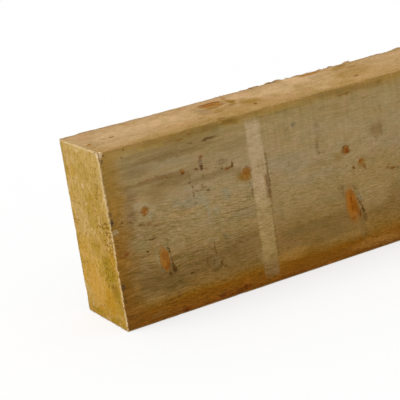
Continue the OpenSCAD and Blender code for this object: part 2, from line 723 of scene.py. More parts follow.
def knotsThrough(tree, where):
    # every branch in turn
    last = {"Away": 9.0, "Tone": 0.0, "Rim": 0.0, "Soft": 0.0, "Push": (0, 0, 0)}
    runs = [(knot["at"], Vector(knot["along"]), wood["knotDepth"], knot) for knot in shownKnots]
    for branch in farBranches:
        angle = math.radians(branch["angle"])
        along = Vector((wood["treeTop"], math.cos(angle), -math.sin(angle)))
        knot = dict(branch, swell=wood["branchSwell"] * branch["radius"], soft=0.2)
        runs.append(((branch["x"], *wood["pith"]), along, wood["branchReach"], knot))
    for start, along, reach, knot in runs:
        values = [where, tuple(start), tuple(along.normalized()), knot["radius"], reach]
        values += [knot[name] for name in ("tone", "rim", "soft", "swell")]
        made = grouped(tree, knotGroup, values + list(last.values()))
        last = {name: made[name] for name in last}
    return last


def dabs(tree, along, up, marks):
    # marks are (along, up, half length, half height, lean, strength), and the strongest one shows
    before = 0.0
    for markAlong, markUp, halfLength, halfHeight, lean, strength in marks:
        place = [along, 1 / halfLength, -markAlong / halfLength, up, 1 / halfHeight, -markUp / halfHeight]
        values = place + [-lean * halfHeight / halfLength, strength, before]
        before = grouped(tree, dabGroup, values)[0]
    return before


broadFace = {
    # colours up the face, from the edge it stands on to the top edge, as shares of the width; darker
    # towards the edge it stands on and darker than the narrow faces: partly the wood's own colour, partly
    # painted shade
    "bands": [
        (0.0, (112, 64, 14)), (0.012, (130, 77, 19)), (0.03, (144, 89, 21)), (0.085, (141, 90, 14)),
        (0.105, (146, 101, 28)), (0.14, (147, 110, 50)), (0.20, (145, 111, 57)), (0.28, (146, 113, 60)),
        (0.33, (152, 121, 68)), (0.38, (161, 132, 79)), (0.46, (166, 138, 87)), (0.56, (171, 144, 97)),
        (0.70, (174, 149, 105)), (0.85, (173, 148, 102)), (0.935, (172, 145, 94)), (0.958, (171, 140, 76)),
        (1.0, (174, 133, 62)),
    ],
    # the same where the ends soaked up the treatment, and how far in that goes
    "endSoak": [
        (0.0, (136, 86, 28)), (0.3, (140, 98, 32)), (0.42, (154, 106, 36)), (0.6, (154, 112, 46)),
        (0.72, (160, 120, 50)), (1.0, (168, 131, 62)),
    ],
    "soakDepth": (4.0, 16.0),
    "greyShare": 0.4,            # how much grey, tan and mossy or rosy tinge drifts in
    "tanShare": 0.4,
    "tingeShare": 0.28,
    "grey": (160, 144, 114),
    "tan": (170, 136, 76),
    "knot": (166, 108, 36),
    "knotEdge": (152, 98, 26),
    "knotHeart": (138, 74, 2),
    "knotDark": (112, 68, 18),
    # stains and scuffs near the shown end; those in the torn hollows beside the two big knots, at x 58 z 77
    # and along the groove at x 66 to 78 z 73 are painted shade of the hollows: along, up, half length, half
    # height, lean, strength
    "marks": {
        "pale": [
            (17.5, 66.8, 3.4, 2.0, 0.3, 0.45), (26.3, 62.5, 1.8, 3.6, -0.2, 0.3),
            (22, 58.6, 3.2, 1.0, 0, 0.15), (2.4, 55.8, 2.0, 1.8, 0, 0.6),
            (24.3, 37, 0.8, 5.0, -0.08, 0.3), (26.4, 42.6, 1.6, 0.8, 0.5, 0.3),
            (38, 40, 5.0, 4.0, 0, 0.2), (147.5, 70, 3.0, 2.4, 0, 0.25),
            (156.4, 36.5, 0.9, 2.6, -0.2, 0.15), (20.9, 67.0, 2.6, 1.4, 0, 0.45),
            (24.2, 61.2, 1.3, 2.2, 0, 0.25), (34, 42, 2.6, 4.0, 0, 0.25), (20, 80.5, 6, 1.6, 0, 0.1),
            (57, 36, 6, 2.0, 0, 0.2), (40, 79.6, 8, 1.2, 0, 0.45),
        ],
        "mist": [
            (58.6, 54, 1.4, 8, 0, 0.4), (50, 60, 10, 3.4, 0, 0.5), (46.8, 60.5, 1.4, 2.4, 0, 0.4),
            (57.8, 57.4, 2.6, 1.8, 0, 0.4), (40, 62, 3.0, 2.6, 0, 0.35), (64, 52, 3.5, 3.0, 0, 0.35),
            (71.2, 58.8, 2.6, 4.0, 0, 0.4), (24.5, 59.6, 2.2, 2.2, 0, 0.35),
            (30, 39.5, 1.6, 4.0, -0.1, 0.2), (57.5, 36.5, 1.8, 1.5, 0, 0.2),
            (58.6, 23.5, 3.0, 4.0, 0, 0.12),
        ],
        "blue": [
            (118.3, 86, 1.8, 1.6, 0, 0.65), (114, 85, 1.2, 0.8, 0, 0.3),
            (58.6, 23.5, 1.3, 4.0, 0, 0.15), (66.5, 36.0, 1.6, 2.6, -0.3, 0.4),
            (69.5, 34.0, 1.2, 1.6, -0.3, 0.35), (92.6, 6.0, 3.0, 2.4, 0, 0.15),
            (156.6, 34.0, 1.0, 3.0, -0.3, 0.6), (70.4, 60.4, 2.0, 0.8, 0, 0.4),
            (26.6, 28.0, 1.5, 1.2, 0, 0.8), (72.2, 57.0, 0.8, 2.4, 0, 0.3),
        ],
        "ink": [
            (1.4, 65.9, 0.8, 1.3, 0, 0.5), (1.4, 61.9, 0.7, 1.9, 0, 0.85), (1.4, 95, 0.8, 1.2, 0, 0.7),
            (1.5, 8.4, 0.6, 1.2, 0, 0.15), (1.4, 25.3, 0.9, 2.0, 0, 0.6),
        ],
        "purple": [
            (132.0, 70.8, 1.5, 4.0, 0.03, 0.35), (133.4, 80, 2.4, 6.5, 0, 0.22),
            (170.4, 70, 1.8, 3.4, 0, 0.16), (174.6, 71, 1.8, 3.2, 0, 0.16),
            (172.0, 64.6, 1.8, 1.8, 0, 0.2), (58.0, 80.0, 1.3, 3.0, 0, 0.65),
            (132.9, 66, 1.2, 1.4, 0, 0.4), (135.9, 66, 1.4, 1.1, 0, 0.3), (71, 77, 4.5, 1.6, 0, 0.4),
            (13.5, 76, 4.0, 1.6, 0, 0.3), (97.9, 56, 1.3, 5.2, 0, 0.3), (12.5, 61.0, 3.0, 3.4, 0, 0.35),
            (15, 72, 3.4, 2.4, 0, 0.3), (11, 69, 2.0, 3.0, 0, 0.2),
        ],
        "rust": [
            (74.2, 72.7, 2.8, 0.8, 0, 0.85), (77.0, 74.0, 0.7, 1.8, 0, 0.7),
            (61.2, 75.8, 1.4, 1.0, 0, 0.4), (54.3, 20.8, 1.4, 1.3, 0, 0.4),
            (48, 95.1, 2.4, 0.5, 0, 0.8), (53.5, 97, 1.2, 0.5, 0, 0.7), (12.8, 94.4, 1.0, 0.7, 0, 0.6),
            (7.1, 60.1, 1.0, 0.9, 0, 0.5), (17.8, 56.0, 2.4, 1.1, -0.2, 0.35),
            (22.6, 55.0, 1.2, 1.0, -0.2, 0.4), (26.4, 53.2, 1.8, 0.8, -0.2, 0.4),
            (18.5, 38.2, 3.6, 0.6, 0, 0.7), (177.6, 45.8, 1.5, 1.1, -0.1, 0.7),
            (181.2, 44.8, 2.8, 0.9, 0, 0.95), (184.4, 44.4, 1.2, 1.2, 0, 0.5),
            (178.8, 48.0, 0.8, 1.2, 0.2, 0.4), (180.2, 41.6, 0.8, 0.6, 0, 0.4),
            (180.5, 26, 1.1, 0.7, 0, 0.1), (154, 95.2, 5.0, 0.9, 0, 0.6),
            (58.7, 82.6, 1.4, 1.0, 0.3, 0.6), (178, 97, 2.5, 0.9, 0, 0.3),
            (115.2, 3.2, 2.6, 1.0, 0, 0.2), (162.1, 50.5, 0.9, 2.0, -0.3, 0.6),
            (4.6, 41.4, 2.4, 0.9, 0, 0.7), (6.9, 42.5, 1.8, 0.8, 0, 1.1), (5.0, 44.5, 2.6, 0.5, 0, 0.5),
            (96.8, 59.6, 0.6, 3.8, 0, 0.6), (97.5, 51.4, 0.6, 3.2, 0, 0.5), (3.0, 28, 2.2, 1.0, 0, 0.2),
            (47.0, 77.0, 1.6, 0.7, 0, 0.6), (55.0, 76.6, 1.8, 0.8, 0, 0.6),
            (155.4, 24.0, 1.0, 2.4, -0.1, 0.6), (57.0, 67.2, 0.9, 0.8, 0, 0.6),
        ],
        "ember": [
            (36.5, 2.1, 3.2, 1.1, 0.2, 1.0), (75.6, 3.0, 2.8, 1.8, 0, 0.85), (83, 1.6, 5, 1.1, 0, 0.2),
            (66, 1.4, 5, 0.9, 0, 0.4), (52, 1.0, 8, 0.7, 0, 0.15), (68.5, 4.4, 2.0, 1.2, 0, 0.4),
            (102, 1.2, 12, 1.0, 0, 0.25), (44, 3.6, 1.4, 0.9, 0, 0.2), (60.4, 2.6, 2.6, 1.7, 0, 0.75),
            (6, 3, 3, 0.8, 0, 0.2), (70, 3.0, 3.4, 1.4, 0, 0.5), (64, 3.4, 1.6, 1.0, 0, 0.5),
            (133, 2.2, 5.0, 1.0, 0, 0.1),
        ],
        "amber": [
            (3.8, 69.5, 2.0, 5.0, 0, 0.4), (4.4, 83, 1.4, 3.0, 0, 0.35), (108, 13.5, 11, 3.4, 0.2, 0.5),
            (101.6, 17, 3.0, 2.4, 0, 0.2), (3.4, 39.4, 2.0, 1.4, 0, 0.35),
            (6.5, 37.6, 1.6, 1.2, 0, 0.6), (6.0, 19.2, 3.0, 0.6, 0, 0.3), (9.6, 23, 2.4, 3.0, 0, 0.25),
        ],
        "umber": [
            (67.0, 74.6, 1.0, 0.7, 0, 0.5), (69.0, 74.4, 0.7, 0.8, 0, 0.5),
            (70.8, 73.6, 0.8, 1.3, 0, 0.6), (53.9, 65.2, 2.2, 0.55, 0, 0.25),
            (56.6, 65.2, 1.4, 0.6, 0, 0.6), (58.2, 66.0, 1.2, 0.9, 0, 0.5),
            (60.0, 63.8, 1.3, 0.8, 0, 0.8), (51.2, 64.0, 0.6, 2.4, -0.1, 0.5),
            (51.4, 59, 0.6, 2.0, 0, 0.3), (50.2, 73.2, 0.6, 3.0, -0.1, 0.35),
            (49.5, 70.6, 0.9, 1.2, 0, 0.5), (51.1, 67.7, 0.8, 1.0, 0, 0.6),
            (98.6, 62.0, 0.6, 3.6, 0, 0.5), (95.6, 69.0, 0.5, 4.0, 0, 0.2),
            (99.9, 62.4, 2.2, 0.5, 0, 0.4), (87.0, 55, 0.7, 3.4, 0, 0.55),
            (86.2, 60.6, 0.6, 1.6, 0, 0.5), (35, 77.4, 7, 0.6, -0.03, 0.3),
            (76, 52, 9, 0.4, 0.08, 0.15), (80, 47.5, 8, 0.4, 0.06, 0.3), (64, 44, 9, 0.35, 0.05, 0.3),
            (72, 29.6, 5, 0.5, 0.3, 0.4), (83, 54, 5, 0.4, 0.05, 0.35), (12.4, 62.2, 1.8, 1.0, 0, 0.3),
            (12.5, 30, 3, 0.4, -0.1, 0.5), (18, 73.4, 1.6, 0.5, 0, 0.3), (2.9, 50.6, 0.8, 0.8, 0, 0.4),
            (1.5, 91.5, 0.8, 1.8, 0, 0.12), (2.6, 47.6, 1.4, 0.9, 0, 0.5),
            (53.3, 24.5, 0.7, 3.0, 0, 0.6), (56.3, 18.8, 1.4, 1.3, 0, 0.5),
            (57.4, 22.6, 0.5, 3.4, 0, 0.5), (55.7, 26.8, 1.8, 0.6, 0, 0.6),
            (32.2, 33.6, 0.4, 2.4, -0.1, 0.7), (31.2, 30.6, 0.5, 2.8, -0.1, 0.8),
            (152.9, 40.6, 0.8, 1.8, -0.4, 0.4), (156.9, 29.0, 0.6, 2.4, -0.3, 0.7),
            (76.5, 97.8, 5, 1.0, 0, 0.3), (33, 74.6, 4.0, 0.9, 0, 0.2), (58.2, 72.4, 1.2, 1.6, 0, 0.3),
            (176.4, 69, 0.6, 4.4, 0, 0.25), (149.8, 54.0, 0.6, 1.0, 0, 0.5),
            (168.7, 45.4, 0.6, 0.7, 0, 0.2), (157.6, 46.4, 0.6, 0.5, 0, 0.5),
            (145.2, 41.5, 1.0, 3.4, -0.1, 0.3), (60.6, 4.2, 3.0, 1.4, 0, 0.3),
        ],
        "dark": [
            (58.3, 77.0, 1.3, 1.8, 0, 0.8), (54.6, 76.9, 1.5, 0.8, 0, 0.4),
            (62.6, 91.6, 1.8, 0.9, -0.1, 0.9), (66.5, 92.0, 4.0, 0.6, -0.05, 0.8),
            (53.5, 92, 2.0, 0.6, 0, 0.6), (22.9, 46.3, 2.4, 0.55, -0.1, 0.9),
            (18.8, 40.4, 0.9, 0.8, 0, 0.8), (30.4, 24.6, 1.2, 1.1, 0, 1.1),
            (31.8, 36.6, 0.6, 0.9, 0, 1.0), (31.2, 39.0, 0.4, 1.6, -0.1, 0.8),
            (33.3, 26.4, 1.4, 2.4, -0.1, 1.0), (32.7, 30.6, 0.45, 2.4, -0.1, 0.8),
            (43.6, 21.1, 1.3, 0.5, -0.15, 0.9), (154.2, 38.8, 1.0, 0.9, 0, 0.4),
            (155.4, 32.0, 0.7, 2.2, -0.3, 0.65), (158.0, 25.4, 1.0, 3.0, -0.25, 0.75),
            (158.8, 20.8, 1.2, 3.2, -0.05, 0.4), (14.4, 98.5, 1.0, 0.8, 0, 0.6),
            (1.8, 20.6, 0.8, 1.0, 0, 0.4), (1.7, 17.4, 0.8, 1.4, 0, 0.6), (2.2, 98.0, 0.8, 0.7, 0, 0.9),
            (3.2, 96.8, 0.7, 0.7, 0, 0.2), (59.2, 30.2, 0.5, 4.2, 0, 0.55),
            (61.9, 21.2, 1.1, 1.6, 0, 0.75), (59.2, 19.2, 2.4, 1.1, 0.2, 0.4),
            (64.0, 18.7, 1.1, 1.0, 0, 0.6), (71.0, 28.5, 0.5, 2.0, -0.4, 0.5),
            (76.9, 72.9, 0.9, 0.9, 0, 0.7), (77.1, 74.8, 0.5, 1.4, 0, 0.4),
            (33.4, 11.4, 1.8, 2.0, 0, 0.4), (7.1, 60.0, 0.7, 0.6, 0, 0.5),
        ],
    },
    # and the ones that lie over the knots
    "knotMarks": {
        "knotPale": [
            (27.0, 38.6, 1.4, 2.4, 0, 0.4), (26.6, 34.5, 0.6, 3.0, -0.1, 0.35),
            (150.0, 39.0, 1.8, 1.4, 0, 0.5), (147.6, 32.0, 1.0, 5.5, -0.12, 0.3),
            (152.4, 35.4, 0.7, 1.6, -0.1, 0.2),
        ],
        "knotWarm": [(150.5, 32.0, 3.2, 8.0, -0.1, 0.7)],
        "knotHeart": [
            (28.0, 35.6, 1.4, 2.4, -0.1, 0.4), (28.8, 28.3, 1.3, 1.3, 0, 0.5),
            (30.0, 30.0, 0.6, 2.2, -0.1, 0.6), (30.0, 34.6, 0.5, 2.2, -0.1, 0.5),
            (150.1, 33.2, 0.6, 2.8, -0.05, 0.8), (150.7, 28.8, 0.6, 2.8, -0.1, 0.7),
            (150.9, 22.6, 1.8, 1.4, 0, 0.6), (153.2, 25.0, 0.8, 2.2, -0.1, 0.4),
            (153.0, 28.0, 1.5, 6.0, -0.15, 0.45), (155.3, 23.2, 0.8, 2.4, -0.1, 0.8),
            (151.0, 37.5, 1.6, 2.2, 0, 0.35), (30.1, 29.5, 0.9, 3.4, -0.15, 0.45),
            (151.0, 63.5, 1.5, 1.4, 0, 0.8), (151.9, 62.0, 1.1, 1.0, 0, 0.9),
            (159.3, 54.6, 1.4, 1.1, 0, 0.7), (21.4, 64.0, 0.8, 0.9, 0, 0.4),
        ],
        "dark": [
            (149.4, 65.1, 1.0, 0.9, 0, 0.5), (152.2, 64.9, 0.7, 0.6, 0, 0.4),
            (46.3, 76.8, 1.1, 0.8, 0, 0.7), (154.4, 51.4, 0.8, 0.7, 0, 0.5),
            (85.9, 69.4, 0.5, 0.5, 0, 0.4), (86.6, 66.0, 0.4, 0.6, 0, 0.3),
        ],
        "pale": [(83.6, 70.6, 1.5, 0.7, 0, 0.5), (82.2, 68.8, 0.7, 1.3, 0, 0.45)],
        "umber": [
            (18.5, 62.9, 0.9, 0.8, 0, 0.6), (21.8, 65.2, 1.2, 0.6, -0.3, 0.2),
            (20.3, 60.3, 0.9, 0.6, 0.3, 0.15), (23.2, 63.6, 0.5, 1.0, 0, 0.45),
            (84.3, 68.6, 0.4, 0.9, 0, 0.5), (86.0, 70.2, 0.4, 0.7, 0, 0.5),
            (85.0, 64.8, 0.6, 0.5, 0, 0.4), (87.2, 67.6, 0.4, 0.8, 0, 0.4),
        ],
    },
    # long streaks along the grain, the same way; the upright olive ones at x 34.6 and x 157 are painted
    # shade beside the torn hollows of the two big knots
    "streaks": {
        "olive": [
            (43, 92.8, 42, 2.0, 0, 0.35), (40, 89.0, 38, 2.4, 0, 0.55), (58, 91.2, 14, 4.0, 0, 0.4),
            (24, 77.8, 22, 1.1, 0, 0.5), (40, 74.5, 15, 3.2, 0, 0.6), (28.5, 71.5, 4.2, 3.4, 0, 0.35),
            (64, 71, 24, 2.2, 0, 0.5), (80, 84.5, 12, 3.8, 0, 0.3), (20, 84.5, 10, 3.4, 0, 0.4),
            (46, 31.7, 13, 0.7, 0, 0.8), (47, 25.6, 11, 1.3, 0.03, 0.9),
            (26, 21.4, 11, 1.1, -0.05, 0.9), (25, 18.2, 10, 0.9, -0.05, 0.8),
            (32, 15.8, 10, 0.8, -0.05, 0.6), (34.6, 20.0, 2.8, 7.5, -0.1, 1.2),
            (79, 31, 13, 2.0, 0, 0.5), (68, 21, 20, 6.0, 0, 0.25), (122, 26, 24, 3.2, 0, 0.4),
            (136, 18, 13, 4.0, -0.1, 0.6), (157, 14, 2.8, 7.0, -0.1, 0.5),
            (146, 40, 2.4, 4.5, 0.2, 0.3), (27, 35, 20, 12, 0, 0.25), (24, 19, 16, 8, 0, 0.45),
            (62, 23, 26, 7, 0, 0.3), (24, 50, 12, 8, 0, 0.25), (131, 60, 8, 2.6, -0.05, 0.3),
            (75, 48, 14, 0.5, 0, 0.5), (78, 44.6, 14, 0.45, 0, 0.5), (116, 46.5, 18, 0.45, 0, 0.4),
            (113, 43.8, 16, 0.4, 0, 0.35), (14, 33, 8, 0.45, -0.05, 0.5), (12, 43.5, 5, 0.4, 0, 0.5),
            (20, 27, 10, 0.5, -0.08, 0.4), (104, 95.2, 20, 0.6, 0, 0.4), (83, 69, 8, 2.5, 0, 0.3),
            (54, 97, 18, 2.6, 0, 0.4),
        ],
        "russet": [
            (33, 78.2, 14, 1.8, -0.02, 0.6), (11, 78.6, 7, 0.9, 0, 0.4), (42, 95.6, 6, 1.0, 0, 0.3),
            (92, 98, 12, 1.2, 0, 0.2), (173, 95.8, 12, 1.6, 0, 0.3),
        ],
    },
    # wider soft patches, the same way
    "patches": {
        "tan": [
            (84, 66.3, 5.2, 4.6, 0, 0.8), (145, 60.4, 4.0, 2.6, 0, 0.5), (160, 54, 3.4, 3.2, 0, 0.6),
            (79.5, 98.4, 5.4, 2.6, 0, 1.0),
        ],
        "brown": [
            (173, 69.6, 5.0, 4.5, 0, 0.55), (177.5, 81, 1.0, 2.4, 0, 0.5),
            (144, 43, 1.8, 3.4, 0.2, 0.5), (30, 72, 20, 7, 0, 0.2), (29, 66.5, 6.0, 4.0, 0, 0.35),
            (82, 29, 10, 3, 0, 0.35), (100.8, 58, 2.0, 8.0, 0, 0.15), (44, 82, 38, 14, 0, 0.13),
            (20.5, 55.0, 5.0, 2.0, -0.1, 0.2), (42, 60, 15, 3.5, 0, 0.15),
            (19, 4.2, 5.0, 1.6, 0.4, 0.35), (13, 62, 4.0, 7.0, 0, 0.5),
            (146.6, 38, 0.9, 2.0, -0.2, 0.6), (147.6, 63, 1.0, 1.6, 0, 0.5),
        ],
        "umber": [
            (30, 21, 19, 8, 0, 0.34), (17, 23, 8, 5, 0, 0.5), (35.0, 21.0, 2.4, 6.0, -0.1, 0.5),
            (10, 40, 6, 20, 0, 0.16), (14, 68, 5, 6, 0, 0.2), (30, 97.5, 7, 2, 0, 0.25),
            (67, 97, 6, 2.6, 0, 0.3), (150, 97.5, 22, 2.4, 0, 0.3), (62, 25, 18, 5, 0, 0.15),
        ],
        "bright": [
            (166, 33, 13, 9, 0, 0.35), (62, 72, 5, 2.0, 0, 0.2), (112, 46, 14, 8, 0, 0.2),
            (90, 17, 7, 6, 0, 0.3), (126, 52, 12, 8, 0, 0.15),
        ],
        "amber": [(168, 13, 14, 8, 0, 0.22), (168, 4.5, 24, 3.4, 0, 0.4)],
    },
    "tints": {
        "pale": (186, 164, 124), "blue": (124, 116, 88), "rust": (128, 78, 28), "dark": (90, 60, 18),
        "olive": (127, 100, 52), "brown": (142, 110, 60), "purple": (122, 92, 66), "tan": (150, 114, 46),
        "russet": (130, 94, 50), "ember": (108, 52, 10), "amber": (182, 134, 62), "ink": (66, 58, 54),
        "knotHeart": (126, 62, 0), "knotPale": (172, 124, 62), "knotWarm": (172, 100, 6),
        "bright": (184, 156, 104), "mossy": (146, 134, 92), "rosy": (172, 136, 100),
        "mist": (150, 144, 114), "umber": (106, 74, 34),
    },
}

# Pale bands where the stack's spacer sticks kept the weather off the broad faces
spacer = {
    "middles": [92.7, 655.0, 1218.0, 1738.0],    # along x
    "halfWidth": (4.0, 5.4),     # full to the first, gone at the second
    "fromBottom": (2.5, 7.0),    # none up to the first, full from the second
    "fromTop": (2.5, 9.0),
    "worn": (0.6, 0.98),         # strength where it is most and least worn
    # colours up the band, as shares of the width
    "bands": [
        (0.0, (146, 110, 59)), (0.1, (150, 118, 70)), (0.18, (173, 143, 86)), (0.45, (183, 155, 104)),
        (0.55, (190, 162, 118)), (1.0, (194, 168, 128)),
    ],
    "shade": (112, 80, 34),      # of the dark lines along it
    "outerLine": 5.6,            # how far they are from its middle
    "innerLine": 4.2,
}

narrowFace = {
    # colours across the face, from the front arris to the back one; lighter than the broad faces: partly
    # the wood's own colour, partly painted light from above
    "bands": [
        (0.0, (166, 134, 78)), (0.06, (175, 140, 84)), (0.15, (182, 147, 92)), (0.25, (185, 151, 99)),
        (0.4, (189, 156, 106)), (0.6, (193, 160, 111)), (0.8, (194, 160, 113)), (0.92, (190, 156, 113)),
        (1.0, (177, 145, 106)),
    ],
    # noise, from and to, share of the tint there and there
    "drifts": [
        ("hues", 0.3, 0.5, 0.5, 0.0, "tan"), ("hues", 0.5, 0.7, 0.0, 0.4, "pink"),
        ("speckle", 0.5, 0.7, 0.0, 0.5, "pink"), ("speckle", 0.3, 0.5, 0.55, 0.0, "olive"),
        ("tinge", 0.3, 0.5, 0.4, 0.0, "olive"),
    ],
    "knot": (165, 105, 10),
    "knotEdge": (153, 99, 20),
    "knotHeart": (150, 90, 0),
    "knotDark": (126, 80, 6),
    "marks": {
        "pink": [
            (38.5, 43, 1.2, 3.0, 0.3, 0.6), (11, 42, 6.0, 5.0, 0.3, 0.4), (58, 43, 0.9, 2.2, 0.3, 0.6),
            (68, 44, 2.0, 3.0, 0, 0.4), (74, 43, 1.6, 2.4, 0, 0.6), (85.5, 24, 3.4, 2.6, 0, 0.2),
            (94, 45, 4.0, 3.0, 0, 0.3), (67, 13, 1.2, 3.0, 0.5, 0.4), (183, 37, 4.5, 3.0, 0.4, 0.4),
            (138, 14, 4.0, 4.0, 0.2, 0.3), (125, 8, 2.4, 6.0, 0.3, 0.4), (20, 20, 6.0, 5.0, 0.3, 0.15),
            (8, 33, 4.0, 4.0, 0, 0.3), (112, 40, 3.0, 5.0, 0, 0.35),
        ],
        "grey": [
            (77.5, 26, 2.6, 7.5, -0.2, 0.6), (15, 26, 2.0, 3.0, 0, 0.4), (158, 36, 5.0, 4.0, 0, 0.35),
            (135, 33, 4.0, 5.0, 0.3, 0.25),
        ],
        "olive": [
            (75, 3.5, 1.6, 3.5, 0.3, 0.6), (87, 3, 3.4, 2.4, 0.4, 0.4), (98.6, 41, 2.0, 5.0, 0.3, 0.2),
            (139, 22, 3.6, 8.0, 0.3, 0.3), (168, 24, 1.8, 6.0, 0.5, 0.4), (180, 43, 6.0, 3.6, 0.3, 0.8),
            (66, 5, 12, 3.0, 0, 0.15), (4, 14, 1.6, 4.0, 0.3, 0.15), (186, 38, 4.0, 3.0, 0, 0.7),
            (83.5, 18.5, 2.6, 3.0, 0, 0.6),
        ],
        "orange": [
            (4.9, 21.4, 1.4, 1.6, 0.4, 1.3), (160, 45.8, 7.5, 2.4, 0, 0.8),
            (166, 46.2, 3.0, 2.2, 0, 0.9),
        ],
        "dark": [
            (20.2, 25.2, 1.9, 1.3, 0.5, 1.1), (103.9, 13.3, 1.0, 1.8, 0.5, 1.1),
            (173.4, 14.5, 1.6, 2.0, 0.5, 0.8), (168.6, 24.4, 1.1, 1.8, 0, 0.3),
            (167.6, 19.4, 1.0, 1.6, 0, 0.4), (175.8, 40, 1.4, 5.0, 0.2, 0.3),
            (75.2, 1.9, 3.0, 2.2, 0.3, 0.55), (68.5, 13.6, 1.8, 1.5, 0, 0.4),
            (81.5, 16.6, 2.8, 1.5, 0, 0.5), (126.2, 14.8, 1.2, 1.6, 0, 0.3),
            (4.2, 12.4, 1.2, 1.4, 0, 0.3), (76, 36, 4.0, 1.0, 0, 0.3), (122, 49, 2.0, 1.2, 0, 0.8),
            (136, 49, 3.6, 1.2, 0, 0.5), (48.5, 13, 0.7, 2.0, 0.5, 0.3), (184, 46.5, 3.0, 1.6, 0, 0.55),
        ],
    },
    "patches": {
        "grey": [(22, 24, 24, 18, 0, 0.24)],
        "olive": [
            (177, 24, 16, 12, 0.3, 0.62), (180, 36, 12, 7, 0, 0.45), (162, 6, 7, 3.6, 0, 0.6),
            (88, 21, 5, 3, 0, 0.35), (90, 12, 13, 7, 0, 0.45), (106, 22, 6.5, 8, 0.1, 1.0),
            (104, 12, 13, 8, 0, 0.4), (105, 31, 2.6, 2.6, 0, 0.6),
        ],
        # the first four brown ones, at x 94 to 101, lie in the torn hollow beside the top knot and are
        # painted shade of it
        "brown": [
            (99.6, 33, 2.2, 7.5, 0.1, 1.0), (97.0, 26, 2.6, 2.6, 0, 0.9), (94.5, 25, 2.4, 2.2, 0, 0.6),
            (100.4, 42, 1.8, 4.0, 0.1, 0.6), (78, 22, 6, 6, 0, 0.5), (83, 28, 6, 3.5, 0, 0.7),
            (102, 18, 6, 8, 0, 0.22), (88, 22, 9, 4, 0, 0.35), (77, 31, 4, 6, 0, 0.4),
        ],
        "pale": [
            (150, 36, 10, 8, 0.3, 0.3), (108, 38, 8, 8, 0.3, 0.25), (128, 32, 10, 8, 0.3, 0.35),
            (26, 28, 18, 14, 0, 0.36), (25, 11, 8, 6, 0, 0.3), (46, 32, 18, 9, 0, 0.35),
            (56, 33, 10, 7, 0, 0.35), (149, 45, 7, 5, 0, 0.6), (146, 8, 5, 5, 0, 0.35),
            (112, 27, 8, 6, 0, 0.25), (130, 22, 8, 8, 0, 0.25), (16, 10, 8, 8, 0, 0.25),
        ],
    },
    "knotMarks": {
        "ember": [
            (86.5, 39.8, 4.0, 1.4, 0, 1.1), (91.8, 40.0, 3.0, 1.4, 0, 0.8),
            (94.0, 39.0, 2.2, 1.2, 0, 1.1), (88.6, 36.0, 3.0, 1.2, 0, 0.9),
            (90.8, 31.4, 4.4, 1.0, 0, 0.6), (84.0, 36.4, 2.2, 1.2, 0, 0.7),
        ],
        "olive": [(87.2, 31.0, 2.8, 2.0, 0, 1.2)],
        "pale": [
            (4.2, 24.4, 0.9, 1.2, 0, 0.5), (8.0, 43, 2.6, 1.2, 0, 0.2), (91, 44.6, 5.0, 0.9, 0, 0.12),
        ],
    },
    "tints": {
        "grey": (166, 138, 108), "olive": (158, 121, 52), "orange": (160, 104, 12), "dark": (118, 82, 18),
        "pink": (192, 144, 100), "pale": (226, 188, 142), "brown": (142, 103, 32), "ember": (126, 74, 0),
        "tan": (176, 139, 76),
    },
    "arris": (112, 84, 44),      # darker along the torn back arris: partly dark torn wood, partly painted shade where the top falls away at the edge
    "arrisShadeShare": 0.6,
}

